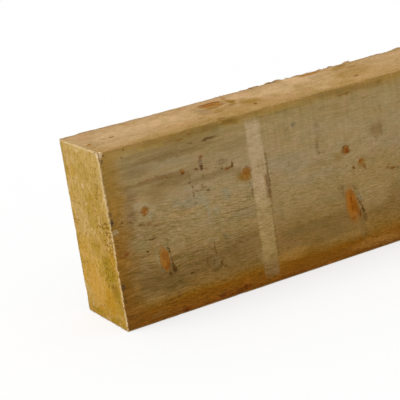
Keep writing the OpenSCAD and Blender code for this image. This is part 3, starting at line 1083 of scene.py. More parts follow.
endFace = {
    # colours up the end
    "bands": [
        (0.0, (176, 139, 50)), (0.05, (190, 147, 54)), (0.2, (206, 159, 58)), (0.35, (206, 162, 68)),
        (0.5, (199, 160, 77)), (0.7, (202, 164, 84)), (1.0, (205, 170, 96)),
    ],
    "drifts": [("endMottle", 0.5, 0.7, 0.0, 0.55, "pale"), ("endMottle", 0.3, 0.5, 0.72, 0.0, "olive")],
    "marks": {
        "dark": [
            (9.6, 81.4, 1.3, 0.6, -0.5, 0.7), (11, 76, 0.9, 1.0, 0, 0.5), (13, 73, 0.8, 0.8, 0, 0.6),
            (30.8, 66.8, 1.1, 0.9, 0, 0.6), (25.5, 62, 1.4, 0.6, -0.3, 0.5), (17, 65, 1.0, 0.7, 0, 0.5),
            (26, 55, 1.2, 0.6, 0, 0.6), (23, 44.6, 0.8, 0.5, 0, 0.7), (25, 43.6, 0.8, 0.4, 0, 0.6),
            (41, 65.4, 8.5, 0.5, 0, 0.45), (13, 71, 0.8, 0.6, 0, 0.5),
            (12.5, 90.5, 1.5, 0.5, -0.4, 0.6), (13.5, 49.5, 2.4, 0.7, -0.3, 0.3),
            (10.8, 22.8, 1.6, 0.6, 0, 0.6), (3.4, 20.6, 1.2, 2.6, -0.2, 0.2),
            (6, 16.0, 2.0, 0.6, -0.5, 0.5), (30, 75, 1.2, 0.4, 0, 0.4), (13, 90, 1.0, 1.6, 0, 0.5),
            (9.6, 79.0, 0.7, 2.0, 0, 0.3), (10.6, 75.6, 0.8, 1.2, 0, 0.4),
            (6.8, 23.8, 1.4, 0.8, 0, 0.6),
        ],
        "red": [
            (46.6, 54.8, 4.0, 0.5, 0, 0.65), (46, 53.0, 3.5, 0.45, 0, 0.35),
            (9.8, 22.6, 2.4, 0.8, 0, 0.6), (6.8, 23.8, 1.4, 0.8, 0, 0.5),
        ],
        "pale": [
            (28.5, 97, 2.2, 0.9, 0, 0.8), (28.5, 77.3, 1.7, 1.4, 0, 0.9),
            (28.3, 66.8, 1.6, 1.2, 0, 0.9), (13.5, 54.5, 1.4, 1.2, 0, 0.7),
            (5, 50, 2.6, 2.2, -0.3, 0.7), (8, 46, 2.4, 1.2, -0.3, 0.5), (14, 58.5, 2.0, 0.8, 0, 0.5),
            (36, 90, 3, 3, 0, 0.3), (44, 89, 3.0, 3.0, 0, 0.3), (11.6, 25.2, 1.0, 0.8, 0, 0.4),
            (8.4, 26.0, 0.7, 0.9, 0, 0.5), (37, 50.6, 2.6, 2.0, 0, 0.2), (42, 88, 1.6, 6.0, -0.1, 0.4),
            (48.4, 15.5, 1.2, 2.4, 0, 0.7), (46.3, 8.0, 1.0, 4.0, 0, 0.4),
        ],
    },
    "patches": {
        "pale": [
            (40, 61, 8.5, 3.6, 0, 0.35), (44.5, 13.5, 3.4, 3.4, 0, 0.5), (27, 22, 2.4, 9, 0.1, 0.3),
            (24, 51, 6, 3.5, 0, 0.25), (9, 83, 8, 3.5, 0, 0.4), (36, 57, 10, 8, 0, 0.3),
            (36, 10, 9, 6, 0, 0.2), (12, 61, 4, 2.5, 0, 0.3),
        ],
        "olive": [
            (12, 32, 8.0, 10.5, 0, 1.1), (15, 34, 4.5, 6.0, 0, 0.8), (23, 62, 6.5, 9, 0.2, 0.4),
            (8, 17, 4.0, 8, 0, 0.5), (8, 56, 7, 12, 0, 0.5), (11, 80, 5, 10, 0, 0.4),
            (24, 43, 6.5, 6.0, 0, 0.5), (24, 86, 9, 6, 0, 0.35), (37, 3.4, 8, 1.8, 0, 0.8),
            (14, 4, 9, 2.0, 0, 0.6), (46, 14, 4.0, 6.0, 0, 0.25), (22, 70, 6, 4, 0, 0.4),
            # the next three, along the back edge at y 47.5 to 49.5, are painted shade darkening that edge
            (49, 89, 3.6, 15, 0, 0.75), (49.5, 34, 2.4, 14, 0, 0.7), (47.5, 6, 3.4, 3.4, 0, 0.5),
            (14, 70, 3.5, 3.5, 0, 0.4), (6, 21, 4.0, 6.0, 0, 0.7),
        ],
        "gold": [
            (16.5, 14.0, 7.5, 8.5, 0, 0.7), (30, 5.5, 4.5, 1.8, 0, 0.7), (6, 42, 4, 10, 0, 0.6),
            (24, 11, 5, 4, 0, 0.2),
        ],
        "orange": [
            (41.5, 38, 4.5, 5.5, 0, 0.45), (33, 19, 10, 13, 0, 0.8), (42, 85, 5, 6, 0, 0.45),
            (38, 42, 6, 5, 0, 0.3),
        ],
        "bronze": [
            (8.5, 21, 5.5, 5.0, 0, 0.6), (3.0, 18, 3.4, 12, 0, 0.45), (22, 30, 3.4, 5.0, 0, 0.3),
        ],
    },
    "tints": {
        "dark": (134, 92, 14), "red": (152, 96, 26), "pale": (224, 190, 132), "olive": (168, 134, 26),
        "gold": (190, 138, 22), "orange": (210, 160, 68), "blush": (214, 168, 112),
        "bronze": (148, 110, 22),
    },
    "pitZone": [
        (6, 52, 7, 11, 0, 1.0), (9, 76, 5, 8, 0, 0.35), (12, 31, 9, 12, 0, 0.45),
        (30, 60, 30, 40, 0, 0.08),
    ],
    # darker pits and the paler fuzz between them: partly the end grain's own colour, partly painted shade
    # and painted highlight
    "pit": (142, 94, 14),
    "crestHighlight": (222, 182, 108),    # paler raised fuzz between the pits, partly a painted highlight
    "crestHighlightShare": 0.6,
    # pale frayed fibres round the end's edges, partly a painted highlight along the arrises
    "frayAndHighlight": (232, 202, 150),
    "frayWidth": (1.5, 3.6),     # at the bottom and at the top, in mm
    "corner": (246, 214, 168),
    "gilt": (176, 132, 18),
}

# Noises of the wood: size of the lumps in mm along x, y and z, detail, roughness,
# and a shift that sets it apart
woodNoises = {
    "drift": ((230, 50, 50), 1.0, 0.5, 0.0),
    "lean": ((30, 26, 20), 1.0, 0.5, 4.0),
    "speckle": ((1.2, 0.8, 0.8), 2.0, 0.7, 0.0),
    "patches": ((34, 20, 9), 2.0, 0.55, 6.0),
    "hues": ((40, 18, 11), 3.0, 0.6, 15.0),
    "mottle": ((6, 4.5, 2.8), 3.0, 0.65, 1.0),
    "sawMarks": ((1.5, 40, 14), 2.0, 0.6, 8.0),
    "sawHere": ((60, 40, 26), 2.0, 0.5, 12.0),
    "bandWander": ((30, 30, 9), 3.0, 0.6, 3.0),
    "pitGrain": ((1.8, 1.9, 1.1), 2.0, 0.6, 5.0),
    "strands": ((0.9, 1.2, 9.0), 2.0, 0.6, 19.0),
    "endMottle": ((4.0, 2.6, 4.2), 3.0, 0.65, 17.0),
    "endPits": ((2.0, 2.0, 1.6), 2.0, 0.55, 5.0),
    "tinge": ((8.0, 6.0, 4.6), 3.0, 0.6, 23.0),
}

# How far outlines wander, in mm either way: a small wobble and a wide sway, with the size of their lumps
outlines = {
    "wobble": 1.4,
    "wobbleSize": (2.6, 2.6, 2.2),
    "swayAcross": 4.0,
    "swayUp": 3.5,
    "swayStreak": 1.5,
    "swaySize": (14, 10, 9),
}

# How much each kind of grain lightens and darkens the colour, up or down, as a share
grain = {
    "broad": dict(crinkle=0.10, fibre=0.07, silk=0.06, speckle=0.17, mottle=0.14, patches=0.12, saw=0.10),
    "narrow": dict(crinkle=0.12, fibre=0.16, speckle=0.38, mottle=0.20, patches=0.16),
    "end": dict(speckle=0.62, endMottle=0.28, patches=0.14),
    "knot": dict(speckle=0.22, strands=0.24),
    "blueSwing": dict(broad=1.7, narrow=1.8, end=1.9, knot=1.5),    # blue swings this much further
    "lateWood": 0.05,
    "endRings": 0.12,            # share of olive in the late wood of the crosscut ends
    "crinkleSize": (4.6, 0.9, 0.58),
    "fibreSize": (22, 0.7, 0.6),
    "silkSize": (70, 2.6, 1.8),
    "hatchSize": (16, 1.6, 1.1),
    "crinkleLean": 0.1,          # how far the torn fibres of the broad faces slope
    "crinkleLow": 0.28,          # how strong they are on the lower part of the face
    "bow": 3.0,                  # how far the grain runs off straight, in mm either way
}

finish = {
    "roughness": 0.82,
    "roughnessSwing": 0.12,
    "knotSheen": 0.16,           # how much less rough the knots are
    "specular": 0.06,
    "crinkleHeight": 0.16,       # heights in mm
    "fibreHeight": 0.06,
    "fuzzHeight": 0.08,
}


def toned(tree, at, amounts, less=None):
    # a multiplier about 1 from the named noises, less a share if one is given
    tone = 1.0 - sum(amounts.values())
    for name, amount in amounts.items():
        tone = sums(tree, "MULTIPLY_ADD", getattr(at, name), 2 * amount, tone)
    return tone if less is None else minus(tree, tone, less)


def stained(tree, colour, marks, tints, along, up, share):
    # lays each kind of mark over the colour
    for kind, spots in marks.items():
        strength = times(tree, dabs(tree, along, up, spots), share)
        colour = tinted(tree, strength, colour, tints[kind])
    return colour


def drifted(tree, at, colour, drifts, tints):
    # tints the colour where a noise runs high or low
    for name, low, high, shareLow, shareHigh, kind in drifts:
        share = ease(tree, getattr(at, name), low, high, shareLow, shareHigh)
        colour = tinted(tree, share, colour, tints[kind])
    return colour


def crinkles(tree, x, y, slope):
    where = node(tree, "CombineXYZ", x, y, slope).outputs[0]
    return streaks(tree, where, grain["crinkleSize"], 3.0, 0.62)


def woodPlaces(tree):
    # everything that the colours ask for, each as one number at the spot
    coords = tree.nodes.new("ShaderNodeTexCoord").outputs["Object"]
    noises = {name: lumps(tree, coords, *recipe) for name, recipe in woodNoises.items()}
    at = SimpleNamespace(**noises)
    wobble = threeNoises(tree, coords, outlines["wobbleSize"], 0.0)
    sway = threeNoises(tree, coords, outlines["swaySize"], 2.0)
    at.soakWander = sway[1]

    # where on the stick, in mm from its near, front, bottom corner
    where = vectors(tree, "MULTIPLY_ADD", coords, (1 / mm,) * 3, tuple(-v / mm for v in stickLow))
    at.x = vectors(tree, "DOT_PRODUCT", where, (1, 0, 0))
    at.y = vectors(tree, "DOT_PRODUCT", where, (0, 1, 0))
    at.z = vectors(tree, "DOT_PRODUCT", where, (0, 0, 1))
    at.fromTop = minus(tree, stick["width"], at.z)
    at.toEnd = sums(tree, "MINIMUM", at.x, minus(tree, stick["length"], at.x))
    at.toBroad = sums(tree, "MINIMUM", at.y, minus(tree, stick["thickness"], at.y))
    at.toNarrow = sums(tree, "MINIMUM", at.z, at.fromTop)

    # the same place with a wander in it, so that no outline is clean
    at.bentX = wandering(tree, at.x, wobble[0], outlines["wobble"])
    at.bentY = wandering(tree, at.y, wobble[1], outlines["wobble"])
    at.bentZ = wandering(tree, at.z, wobble[2], outlines["wobble"])
    at.wideX = wandering(tree, at.bentX, sway[0], outlines["swayAcross"])
    at.wideY = wandering(tree, at.bentY, sway[1], outlines["swayAcross"])
    at.wideZ = wandering(tree, at.bentZ, sway[2], outlines["swayUp"])
    at.streakZ = wandering(tree, at.bentZ, sway[2], outlines["swayStreak"])
    at.bent = node(tree, "CombineXYZ", at.bentX, at.bentY, at.bentZ).outputs[0]
    halfBent = scaledVector(tree, vectors(tree, "ADD", where, at.bent), 0.5)
    at.knots = knotsThrough(tree, halfBent)

    # the grain runs round the knots
    grainSpot = vectors(tree, "SUBTRACT", where, at.knots["Push"])
    grainY = vectors(tree, "DOT_PRODUCT", grainSpot, (0, 1, 0))
    grainZ = vectors(tree, "DOT_PRODUCT", grainSpot, (0, 0, 1))
    at.bow = sums(tree, "MULTIPLY_ADD", at.lean, 2 * grain["bow"], -grain["bow"])
    grainZ = plus(tree, grainZ, at.bow)
    slope = sums(tree, "MULTIPLY_ADD", at.x, grain["crinkleLean"], grainZ)
    at.crinkle = ease(tree, crinkles(tree, at.x, grainY, slope), 0.3, 0.7)
    at.grainSpot = node(tree, "CombineXYZ", at.x, grainY, grainZ).outputs[0]
    at.fibre = streaks(tree, at.grainSpot, grain["fibreSize"], 2.0, 0.65)
    at.silk = streaks(tree, at.grainSpot, grain["silkSize"], 2.0, 0.5)

    # growth rings about the pith: late is 1 in the dark wood that ends a year
    pithY, pithZ = wood["pith"]
    fromPith = node(tree, "CombineXYZ", 0.0, minus(tree, grainY, pithY), minus(tree, grainZ, pithZ))
    age = sums(tree, "MULTIPLY_ADD", at.drift, 10.0, vectors(tree, "LENGTH", fromPith.outputs[0]))
    uneven = times(tree, sums(tree, "SINE", times(tree, age, 0.43)), 0.8)
    season = sums(tree, "FRACT", sums(tree, "DIVIDE", plus(tree, age, uneven), wood["ringWidth"]))
    at.late = times(tree, ease(tree, season, 0.35, 0.9), ease(tree, season, 0.93, 1.0, 1.0, 0.0))
    at.onFront = ease(tree, at.y, stick["thickness"] * 0.4, stick["thickness"] * 0.5, 1.0, 0.0)
    at.onTop = ease(tree, at.z, stick["width"] * 0.5, stick["width"] * 0.6)
    at.onNarrow = ease(tree, at.toNarrow, 0.2, 1.1, 1.0, 0.0)
    return at


def spacerBands(tree, at, colour, share):
    # the pale band and the dark lines that a spacer stick leaves
    for middle in spacer["middles"]:
        side = minus(tree, at.bentX, middle)
        band = ease(tree, sums(tree, "ABSOLUTE", side), *spacer["halfWidth"], 1.0, 0.0)
        ends = ease(tree, at.z, *spacer["fromBottom"])
        ends = times(tree, ends, ease(tree, at.fromTop, *spacer["fromTop"]))
        worn = ease(tree, at.mottle, 0.3, 0.6, *spacer["worn"])
        band = times(tree, times(tree, band, ends), worn)
        colour = mixColour(tree, band, colour, ramp(tree, share, spacer["bands"]))
        line = about(tree, side, spacer["outerLine"], 0.1, 1.2)
        line = times(tree, line, ease(tree, at.pitGrain, 0.36, 0.56, 0.35, 1.1))
        heavy = about(tree, at.z, 62.0, 11.0, 16.0, 0.6, 0.25)
        heavy = times(tree, heavy, about(tree, at.z, 45.0, 30.0, 34.0))
        colour = tinted(tree, times(tree, line, heavy), colour, spacer["shade"])
        line = about(tree, side, spacer["innerLine"], 0.7, 1.9)
        heavy = about(tree, at.z, 56.5, 5.5, 8.0, 0.42)
        colour = tinted(tree, times(tree, line, heavy), colour, spacer["shade"])
    return colour


def broadTone(tree, at):
    # how light or dark the grain makes each spot of the broad faces
    sawn = sums(tree, "MULTIPLY_ADD", ease(tree, at.x, 50.0, 90.0), ease(tree, at.z, 56.0, 72.0),
                ease(tree, at.sawHere, 0.35, 0.6, 0.2, 0.8))
    at.saw = nudged(tree, 0.5, at.sawMarks, sawn)
    tone = toned(tree, at, grain["broad"], times(tree, at.late, grain["lateWood"]))

    # the torn fibres stand out more low on the face, and near the ends they are combed into fine lines
    torn = times(tree, minus(tree, at.crinkle, 0.5), ease(tree, at.z, 54.0, 72.0, 2.0, 0.0))
    torn = times(tree, torn, ease(tree, at.x, 60.0, 110.0, 1.0, 0.35))
    combed = times(tree, ease(tree, at.toEnd, 14.0, 40.0, 1.0, 0.0), ease(tree, at.z, 34.0, 50.0, 1.0, 0.2))
    torn = times(tree, torn, sums(tree, "MULTIPLY_ADD", combed, -0.8, 1.0))
    tone = sums(tree, "MULTIPLY_ADD", torn, grain["crinkleLow"] - grain["broad"]["crinkle"], tone)
    tone = nudged(tree, tone, at.fibre, times(tree, combed, 0.8))
    hatch = streaks(tree, at.grainSpot, grain["hatchSize"], 2.0, 0.6)
    lined = times(tree, ease(tree, at.toEnd, 25.0, 60.0, 1.3, 0.0), ease(tree, at.z, 30.0, 46.0, 1.0, 0.15))
    tone = nudged(tree, tone, hatch, lined)

    # coarser and blotchier towards the edge that it stands on
    tone = nudged(tree, tone, at.mottle, ease(tree, at.z, 8.0, 26.0, 0.3, 0.08))
    coarse = times(tree, minus(tree, at.speckle, 0.5), ease(tree, at.z, 60.0, 74.0, 0.28, 0.0))
    coarse = times(tree, coarse, ease(tree, at.z, 8.0, 20.0, 2.8, 1.0))
    return plus(tree, tone, coarse)


def paintBroad(tree, at):
    # the broad faces without their knots
    tones, tints = broadFace, broadFace["tints"]
    climb = nudged(tree, nudged(tree, at.z, at.bandWander, 6.0), at.crinkle, 1.4)
    share = sums(tree, "DIVIDE", climb, stick["width"])
    colour = ramp(tree, share, tones["bands"])
    inner = ease(tree, at.toNarrow, 5.0, 14.0, 0.15, 1.0)
    above = ease(tree, at.z, 30.0, 45.0, 0.15, 1.0)
    grey = times(tree, ease(tree, at.hues, 0.5, 0.7, 0.0, tones["greyShare"]), above)
    colour = tinted(tree, times(tree, grey, inner), colour, tones["grey"])
    tan = times(tree, ease(tree, at.hues, 0.3, 0.5, tones["tanShare"], 0.0), inner)
    colour = tinted(tree, tan, colour, tones["tan"])
    above = ease(tree, at.z, 16.0, 34.0)
    mossy = times(tree, ease(tree, at.tinge, 0.5, 0.68, 0.0, tones["tingeShare"]), above)
    colour = tinted(tree, mossy, colour, tints["mossy"])
    rosy = times(tree, ease(tree, at.tinge, 0.32, 0.5, tones["tingeShare"], 0.0), above)
    colour = tinted(tree, rosy, colour, tints["rosy"])

    # patches break up along the torn fibres, and streaks along the fine ones
    soft = times(tree, ease(tree, at.crinkle, 0.0, 1.0, 0.7, 1.2), at.onFront)
    colour = stained(tree, colour, tones["patches"], tints, at.wideX, at.wideZ, soft)
    soft = times(tree, ease(tree, at.fibre, 0.3, 0.65, 0.5, 1.2), at.onFront)
    colour = stained(tree, colour, tones["streaks"], tints, at.wideX, at.streakZ, soft)

    # the ends soaked up the treatment
    soak = nudged(tree, nudged(tree, at.toEnd, at.soakWander, 12.0), at.crinkle, 2.5)
    soaked = ease(tree, soak, *tones["soakDepth"], 0.95, 0.0)
    colour = mixColour(tree, soaked, colour, ramp(tree, share, tones["endSoak"]))
    colour = spacerBands(tree, at, colour, share)
    soft = times(tree, ease(tree, at.crinkle, 0.0, 1.0, 1.2, 0.8), at.onFront)
    soft = times(tree, soft, ease(tree, at.pitGrain, 0.35, 0.6, 0.75, 1.15))
    colour = stained(tree, colour, tones["marks"], tints, at.bentX, at.bentZ, soft)
    return shade(tree, colour, broadTone(tree, at), grain["blueSwing"]["broad"])


def paintNarrow(tree, at):
    # the narrow faces without their knots
    tones, tints = narrowFace, narrowFace["tints"]
    cross = sums(tree, "DIVIDE", nudged(tree, at.y, at.patches, 10.0), stick["thickness"])
    colour = ramp(tree, cross, tones["bands"])
    colour = drifted(tree, at, colour, tones["drifts"], tints)
    colour = stained(tree, colour, tones["patches"], tints, at.wideX, at.wideY, at.onTop)
    colour = stained(tree, colour, tones["marks"], tints, at.bentX, at.bentY, at.onTop)
    tone = toned(tree, at, grain["narrow"], times(tree, at.late, grain["lateWood"]))
    colour = shade(tree, colour, tone, grain["blueSwing"]["narrow"])

    # darker along the torn back arris: partly dark torn wood, partly painted shade where the top falls away
    # at the edge
    toBack = minus(tree, stick["thickness"], at.y)
    torn = times(tree, ease(tree, toBack, 0.3, 2.2, 1.0, 0.0), ease(tree, at.mottle, 0.42, 0.6))
    torn = times(tree, torn, ease(tree, at.x, 80.0, 110.0, 0.3, 1.0))
    return tinted(tree, times(tree, torn, tones["arrisShadeShare"]), colour, tones["arris"])


def paintKnots(tree, at, side):
    # a darker middle, an orange body, a brown edge and dark bits in the harder ones
    knots = at.knots
    ragged = sums(tree, "MULTIPLY_ADD", knots["Soft"], 1.2, 0.3)
    away = plus(tree, minus(tree, at.speckle, 0.5), minus(tree, at.mottle, 0.5))
    away = sums(tree, "MULTIPLY_ADD", away, ragged, knots["Away"])
    hard = times(tree, ease(tree, at.pitGrain, 0.42, 0.56), knots["Tone"])
    strand = nudged(tree, away, at.strands, 0.9)
    bodies = []
    for tones in (broadFace, narrowFace):
        edge = ease(tree, away, 0.6, 1.05)
        body = mixColour(tree, edge, paint(*tones["knot"]), paint(*tones["knotEdge"]))
        body = tinted(tree, ease(tree, strand, 0.1, 0.5, 0.4, 0.0), body, tones["knotHeart"])
        bodies.append(tinted(tree, hard, body, tones["knotDark"]))
    body = mixColour(tree, at.onNarrow, *bodies)
    light = times(tree, ease(tree, at.tinge, 0.45, 0.65, 0.0, 0.4), ease(tree, at.toNarrow, 0.2, 1.1))
    body = tinted(tree, light, body, broadFace["tints"]["knotPale"])
    loose = times(tree, minus(tree, at.speckle, 0.5), knots["Soft"])
    tone = sums(tree, "MULTIPLY_ADD", loose, 1.1, toned(tree, at, grain["knot"]))
    body = shade(tree, body, tone, grain["blueSwing"]["knot"])

    # the bark ring, then the body over it, softer round the soft ones
    ring = sums(tree, "DIVIDE", minus(tree, away, 1.1), 0.2)
    ring = sums(tree, "EXPONENT", times(tree, times(tree, ring, ring), -1.0))
    ring = times(tree, times(tree, ring, knots["Rim"]), ease(tree, at.speckle, 0.4, 0.6))
    side = tinted(tree, ring, side, broadFace["knotDark"])
    full = sums(tree, "MULTIPLY_ADD", knots["Soft"], -0.6, 0.85)
    gone = sums(tree, "MULTIPLY_ADD", knots["Soft"], 0.5, 1.15)
    covered = ease(tree, away, full, gone, 1.0, 0.0)
    covered = times(tree, covered, sums(tree, "MULTIPLY_ADD", knots["Soft"], -0.15, 1.0))
    side = mixColour(tree, covered, side, body)
    broken = ease(tree, at.pitGrain, 0.35, 0.6, 0.7, 1.2)
    for tones, up, here in ((broadFace, at.bentZ, at.onFront), (narrowFace, at.bentY, at.onNarrow)):
        soft = times(tree, broken, here)
        side = stained(tree, side, tones["knotMarks"], tones["tints"], at.bentX, up, soft)
    return side, away


def paintEnds(tree, at):
    # the crosscut ends
    tones, tints = endFace, endFace["tints"]
    colour = ramp(tree, sums(tree, "DIVIDE", at.wideZ, stick["width"]), tones["bands"])
    colour = drifted(tree, at, colour, tones["drifts"], tints)
    gilt = times(tree, ease(tree, at.hues, 0.48, 0.66, 0.0, 0.5), ease(tree, at.z, 12.0, 40.0, 0.3, 1.0))
    colour = tinted(tree, gilt, colour, tones["gilt"])
    colour = tinted(tree, ease(tree, at.tinge, 0.34, 0.5, 0.4, 0.0), colour, tints["blush"])
    onNear = ease(tree, at.x, 20.0, 30.0, 1.0, 0.0)
    colour = stained(tree, colour, tones["patches"], tints, at.wideY, at.wideZ, onNear)
    colour = stained(tree, colour, tones["marks"], tints, at.bentY, at.bentZ, onNear)
    colour = tinted(tree, times(tree, at.late, grain["endRings"]), colour, tints["olive"])

    # fuzzy grain, strongest where the saw pitted it
    pitted = dabs(tree, at.wideY, at.wideZ, tones["pitZone"])
    rough = ease(tree, pitted, 0.0, 0.7, 0.45, 1.0)
    rough = times(tree, rough, ease(tree, at.wideZ, 8.0, 50.0, 0.45, 1.0))
    tone = minus(tree, toned(tree, at, grain["end"]), 1.0)
    tone = sums(tree, "MULTIPLY_ADD", tone, rough, 1.0)
    colour = shade(tree, colour, tone, grain["blueSwing"]["end"])
    # paler crests and darker pits: partly the grain's own colour, partly painted highlight and painted
    # shade
    crestHighlight = times(tree, ease(tree, at.endPits, 0.48, 0.36), pitted)
    colour = tinted(tree, times(tree, crestHighlight, tones["crestHighlightShare"]), colour, tones["crestHighlight"])
    pitShade = times(tree, ease(tree, at.endPits, 0.5, 0.6), pitted)
    colour = tinted(tree, pitShade, colour, tones["pit"])

    # pale frayed fibres round the edge, widest at the top of the front side, and along the top edge: partly
    # frayed fibres, partly a painted highlight along the arrises
    frayWidth = ease(tree, at.z, 58.0, 72.0, *tones["frayWidth"])
    frayEdge = nudged(tree, nudged(tree, at.toBroad, at.mottle, 3.0), at.endPits, 3.6)
    frayAndHighlight = ease(tree, sums(tree, "DIVIDE", frayEdge, frayWidth), 0.4, 1.05, 0.95, 0.0)
    frayAndHighlight = times(tree, frayAndHighlight, ease(tree, at.speckle, 0.4, 0.53, 0.1, 1.1))
    frayAndHighlight = times(tree, frayAndHighlight, ease(tree, at.y, 20.0, 30.0, 1.0, 0.3))
    lipFrayAndHighlight = ease(tree, at.fromTop, 0.3, 1.6, 1.0, 0.0)
    lipFrayAndHighlight = times(tree, lipFrayAndHighlight, ease(tree, at.mottle, 0.36, 0.55, 0.5, 1.0))
    return tinted(tree, sums(tree, "MAXIMUM", frayAndHighlight, lipFrayAndHighlight), colour, tones["frayAndHighlight"])


def grainHeight(tree, at):
    # height in mm for the bump, from grain that is not bent round the knots
    slope = sums(tree, "MULTIPLY_ADD", at.x, grain["crinkleLean"], plus(tree, at.z, at.bow))
    height = times(tree, crinkles(tree, at.x, at.y, slope), finish["crinkleHeight"])
    height = sums(tree, "MULTIPLY_ADD", at.sawMarks, finish["fibreHeight"], height)
    return sums(tree, "MULTIPLY_ADD", at.speckle, finish["fuzzHeight"], height)


def makeWood():
    material = bpy.data.materials.new("treatedWood")
    material.use_nodes = True
    tree = material.node_tree
    tree.nodes.clear()
    at = woodPlaces(tree)
    broad = paintBroad(tree, at)
    narrow = paintNarrow(tree, at)
    side, away = paintKnots(tree, at, mixColour(tree, at.onNarrow, broad, narrow))
    end = paintEnds(tree, at)

    # the ends wrap a little round onto the sides, and the near top corner is broken off pale
    ripped = nudged(tree, at.toEnd, at.endPits, 1.8)
    colour = mixColour(tree, ease(tree, ripped, 0.15, 0.6, 1.0, 0.0), side, end)
    corner = vectors(tree, "DISTANCE", at.bent, (-0.6, 1.2, stick["width"] - 1.0))
    colour = tinted(tree, ease(tree, corner, 1.6, 3.4, 0.95, 0.0), colour, endFace["corner"])
    swing, sheen = finish["roughnessSwing"], finish["knotSheen"]
    rough = sums(tree, "MULTIPLY_ADD", at.patches, swing, finish["roughness"] - swing / 2)
    rough = plus(tree, ease(tree, away, 0.9, 1.2, -sheen, 0.0), rough)

    bump = tree.nodes.new("ShaderNodeBump")
    bump.inputs["Strength"].default_value = 1.0
    bump.inputs["Distance"].default_value = mm
    feed(tree, bump.inputs["Height"], grainHeight(tree, at))
    shader = tree.nodes.new("ShaderNodeBsdfPrincipled")
    shader.inputs["Specular IOR Level"].default_value = finish["specular"]
    feed(tree, shader.inputs["Base Color"], colour)
    feed(tree, shader.inputs["Roughness"], rough)
    feed(tree, shader.inputs["Normal"], bump.outputs[0])
    output = tree.nodes.new("ShaderNodeOutputMaterial")
    tree.links.new(shader.outputs[0], output.inputs[0])
    print("wood material:", len(tree.nodes), "nodes")
    return material


# Colours and finish of the torn fibres
fibreFinish = {
    "pale": (226, 206, 162),
    "tan": (196, 158, 92),
    "swing": 0.1,                # how much lighter and darker they go, as a share
    "roughness": 0.8,
    "roughnessSwing": 0.1,
}


def makeFibreMaterial():
    material = bpy.data.materials.new("tornFibre")
    material.use_nodes = True
    tree = material.node_tree
    shader = tree.nodes["Principled BSDF"]
    coords = tree.nodes.new("ShaderNodeTexCoord").outputs["Object"]
    tuft = lumps(tree, coords, (3, 2, 2))
    streak = lumps(tree, coords, (0.4, 0.4, 0.4), 1.0, 0.5, 3.0)
    pale, tan = paint(*fibreFinish["pale"]), paint(*fibreFinish["tan"])
    colour = mixColour(tree, ease(tree, tuft, 0.35, 0.65), pale, tan)
    swing = fibreFinish["swing"]
    tone = sums(tree, "MULTIPLY_ADD", streak, 2 * swing, 1 - swing)
    rough = sums(tree, "MULTIPLY_ADD", streak, fibreFinish["roughnessSwing"], fibreFinish["roughness"])
    feed(tree, shader.inputs["Base Color"], shade(tree, colour, tone))
    feed(tree, shader.inputs["Roughness"], rough)
    return material


batten.data.materials.append(makeWood())
tornFibres.data.materials.append(makeFibreMaterial())
for piece in (batten, tornFibres):
    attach(piece, "root")
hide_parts("batten")
print("wood painted")


# Camera beside the shown end, looking along the broad face and a little down, held slightly tilted
cameraSetup = {
    # metres from the near, front, bottom corner
    "fromCorner": (-0.2950, -0.6947, 0.2867),
    "heading": 26.70,            # degrees from straight across the stick, towards the far end
    "down": 16.27,
    "roll": 8.71,
    "lens": 135.1,               # mm, for a film 36 mm wide
    "film": 36.0,
}

studio = {
    "floorSide": 14.0,           # metres
    "floorDrop": 0.1,            # mm below the stick
    "floorPaint": (231, 231, 231),
    "white": (1, 1, 1, 1),
    "floorGlow": 0.6,            # share of the shown floor that the object's shadow doesn't darken
    "skyLevel": 0.6,
    "lampLevel": 1.4,
    "lampFrom": (-0.45, -0.05, 0.9),
    "lampSoftness": 50.0,
}


def makeCamera():
    turn, down, roll = (math.radians(cameraSetup[name]) for name in ("heading", "down", "roll"))
    forward = Vector((math.sin(turn) * math.cos(down), math.cos(turn) * math.cos(down), -math.sin(down)))
    level = Vector((math.cos(turn), -math.sin(turn), 0.0))
    over = level.cross(forward)
    right = math.cos(roll) * level - math.sin(roll) * over
    up = math.sin(roll) * level + math.cos(roll) * over
    data = bpy.data.cameras.new("studioCamera")
    data.lens = cameraSetup["lens"]
    data.sensor_width = cameraSetup["film"]
    camera = bpy.data.objects.new("studioCamera", data)
    axes = Matrix((right, up, -forward)).transposed().to_4x4()
    camera.matrix_world = Matrix.Translation(stickLow + Vector(cameraSetup["fromCorner"])) @ axes
    bpy.context.scene.collection.objects.link(camera)
    bpy.context.scene.camera = camera


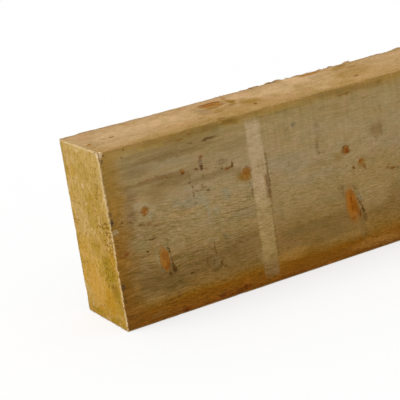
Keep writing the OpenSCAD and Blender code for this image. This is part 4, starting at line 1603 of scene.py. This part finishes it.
def seenPlainly(tree):
    # 1 for rays that should see the clean white backdrop
    path = tree.nodes.new("ShaderNodeLightPath").outputs
    seen = sums(tree, "MAXIMUM", path["Is Camera Ray"], path["Is Glossy Ray"])
    return sums(tree, "MAXIMUM", seen, path["Is Transmission Ray"])


def makeStudio():
    side = studio["floorSide"] / 2
    mesh = bpy.data.meshes.new("studioFloor")
    corners = [(-side, -side, 0), (side, -side, 0), (side, side, 0), (-side, side, 0)]
    mesh.from_pydata(corners, [], [(0, 1, 2, 3)])
    floor = bpy.data.objects.new("studioFloor", mesh)
    floor.location = (0, 0, stickLow.z - studio["floorDrop"] * mm)
    bpy.context.scene.collection.objects.link(floor)
    material = bpy.data.materials.new("paleFloor")
    material.use_nodes = True
    tree = material.node_tree
    tree.nodes.clear()
    plain = node(tree, "BsdfDiffuse", paint(*studio["floorPaint"])).outputs[0]
    white = node(tree, "BsdfDiffuse", studio["white"]).outputs[0]
    glow = node(tree, "Emission", studio["white"], 1.0).outputs[0]
    shown = node(tree, "MixShader", studio["floorGlow"], white, glow).outputs[0]
    mixed = node(tree, "MixShader", seenPlainly(tree), plain, shown).outputs[0]
    tree.links.new(mixed, tree.nodes.new("ShaderNodeOutputMaterial").inputs[0])
    mesh.materials.append(material)

    world = bpy.data.worlds.new("studioWorld")
    world.use_nodes = True
    tree = world.node_tree
    tree.nodes.clear()
    level = sums(tree, "MAXIMUM", seenPlainly(tree), studio["skyLevel"])
    sky = node(tree, "Background", studio["white"], level).outputs[0]
    tree.links.new(sky, tree.nodes.new("ShaderNodeOutputWorld").inputs[0])
    bpy.context.scene.world = world

    data = bpy.data.lights.new("overheadLamp", "SUN")
    data.energy = studio["lampLevel"]
    data.angle = math.radians(studio["lampSoftness"])
    lamp = bpy.data.objects.new("overheadLamp", data)
    lamp.rotation_mode = "QUATERNION"
    lamp.rotation_quaternion = Vector(studio["lampFrom"]).to_track_quat("Z", "Y")
    bpy.context.scene.collection.objects.link(lamp)


makeCamera()
makeStudio()
bpy.context.scene.view_settings.view_transform = "Standard"
print("camera, lamp and floor placed")
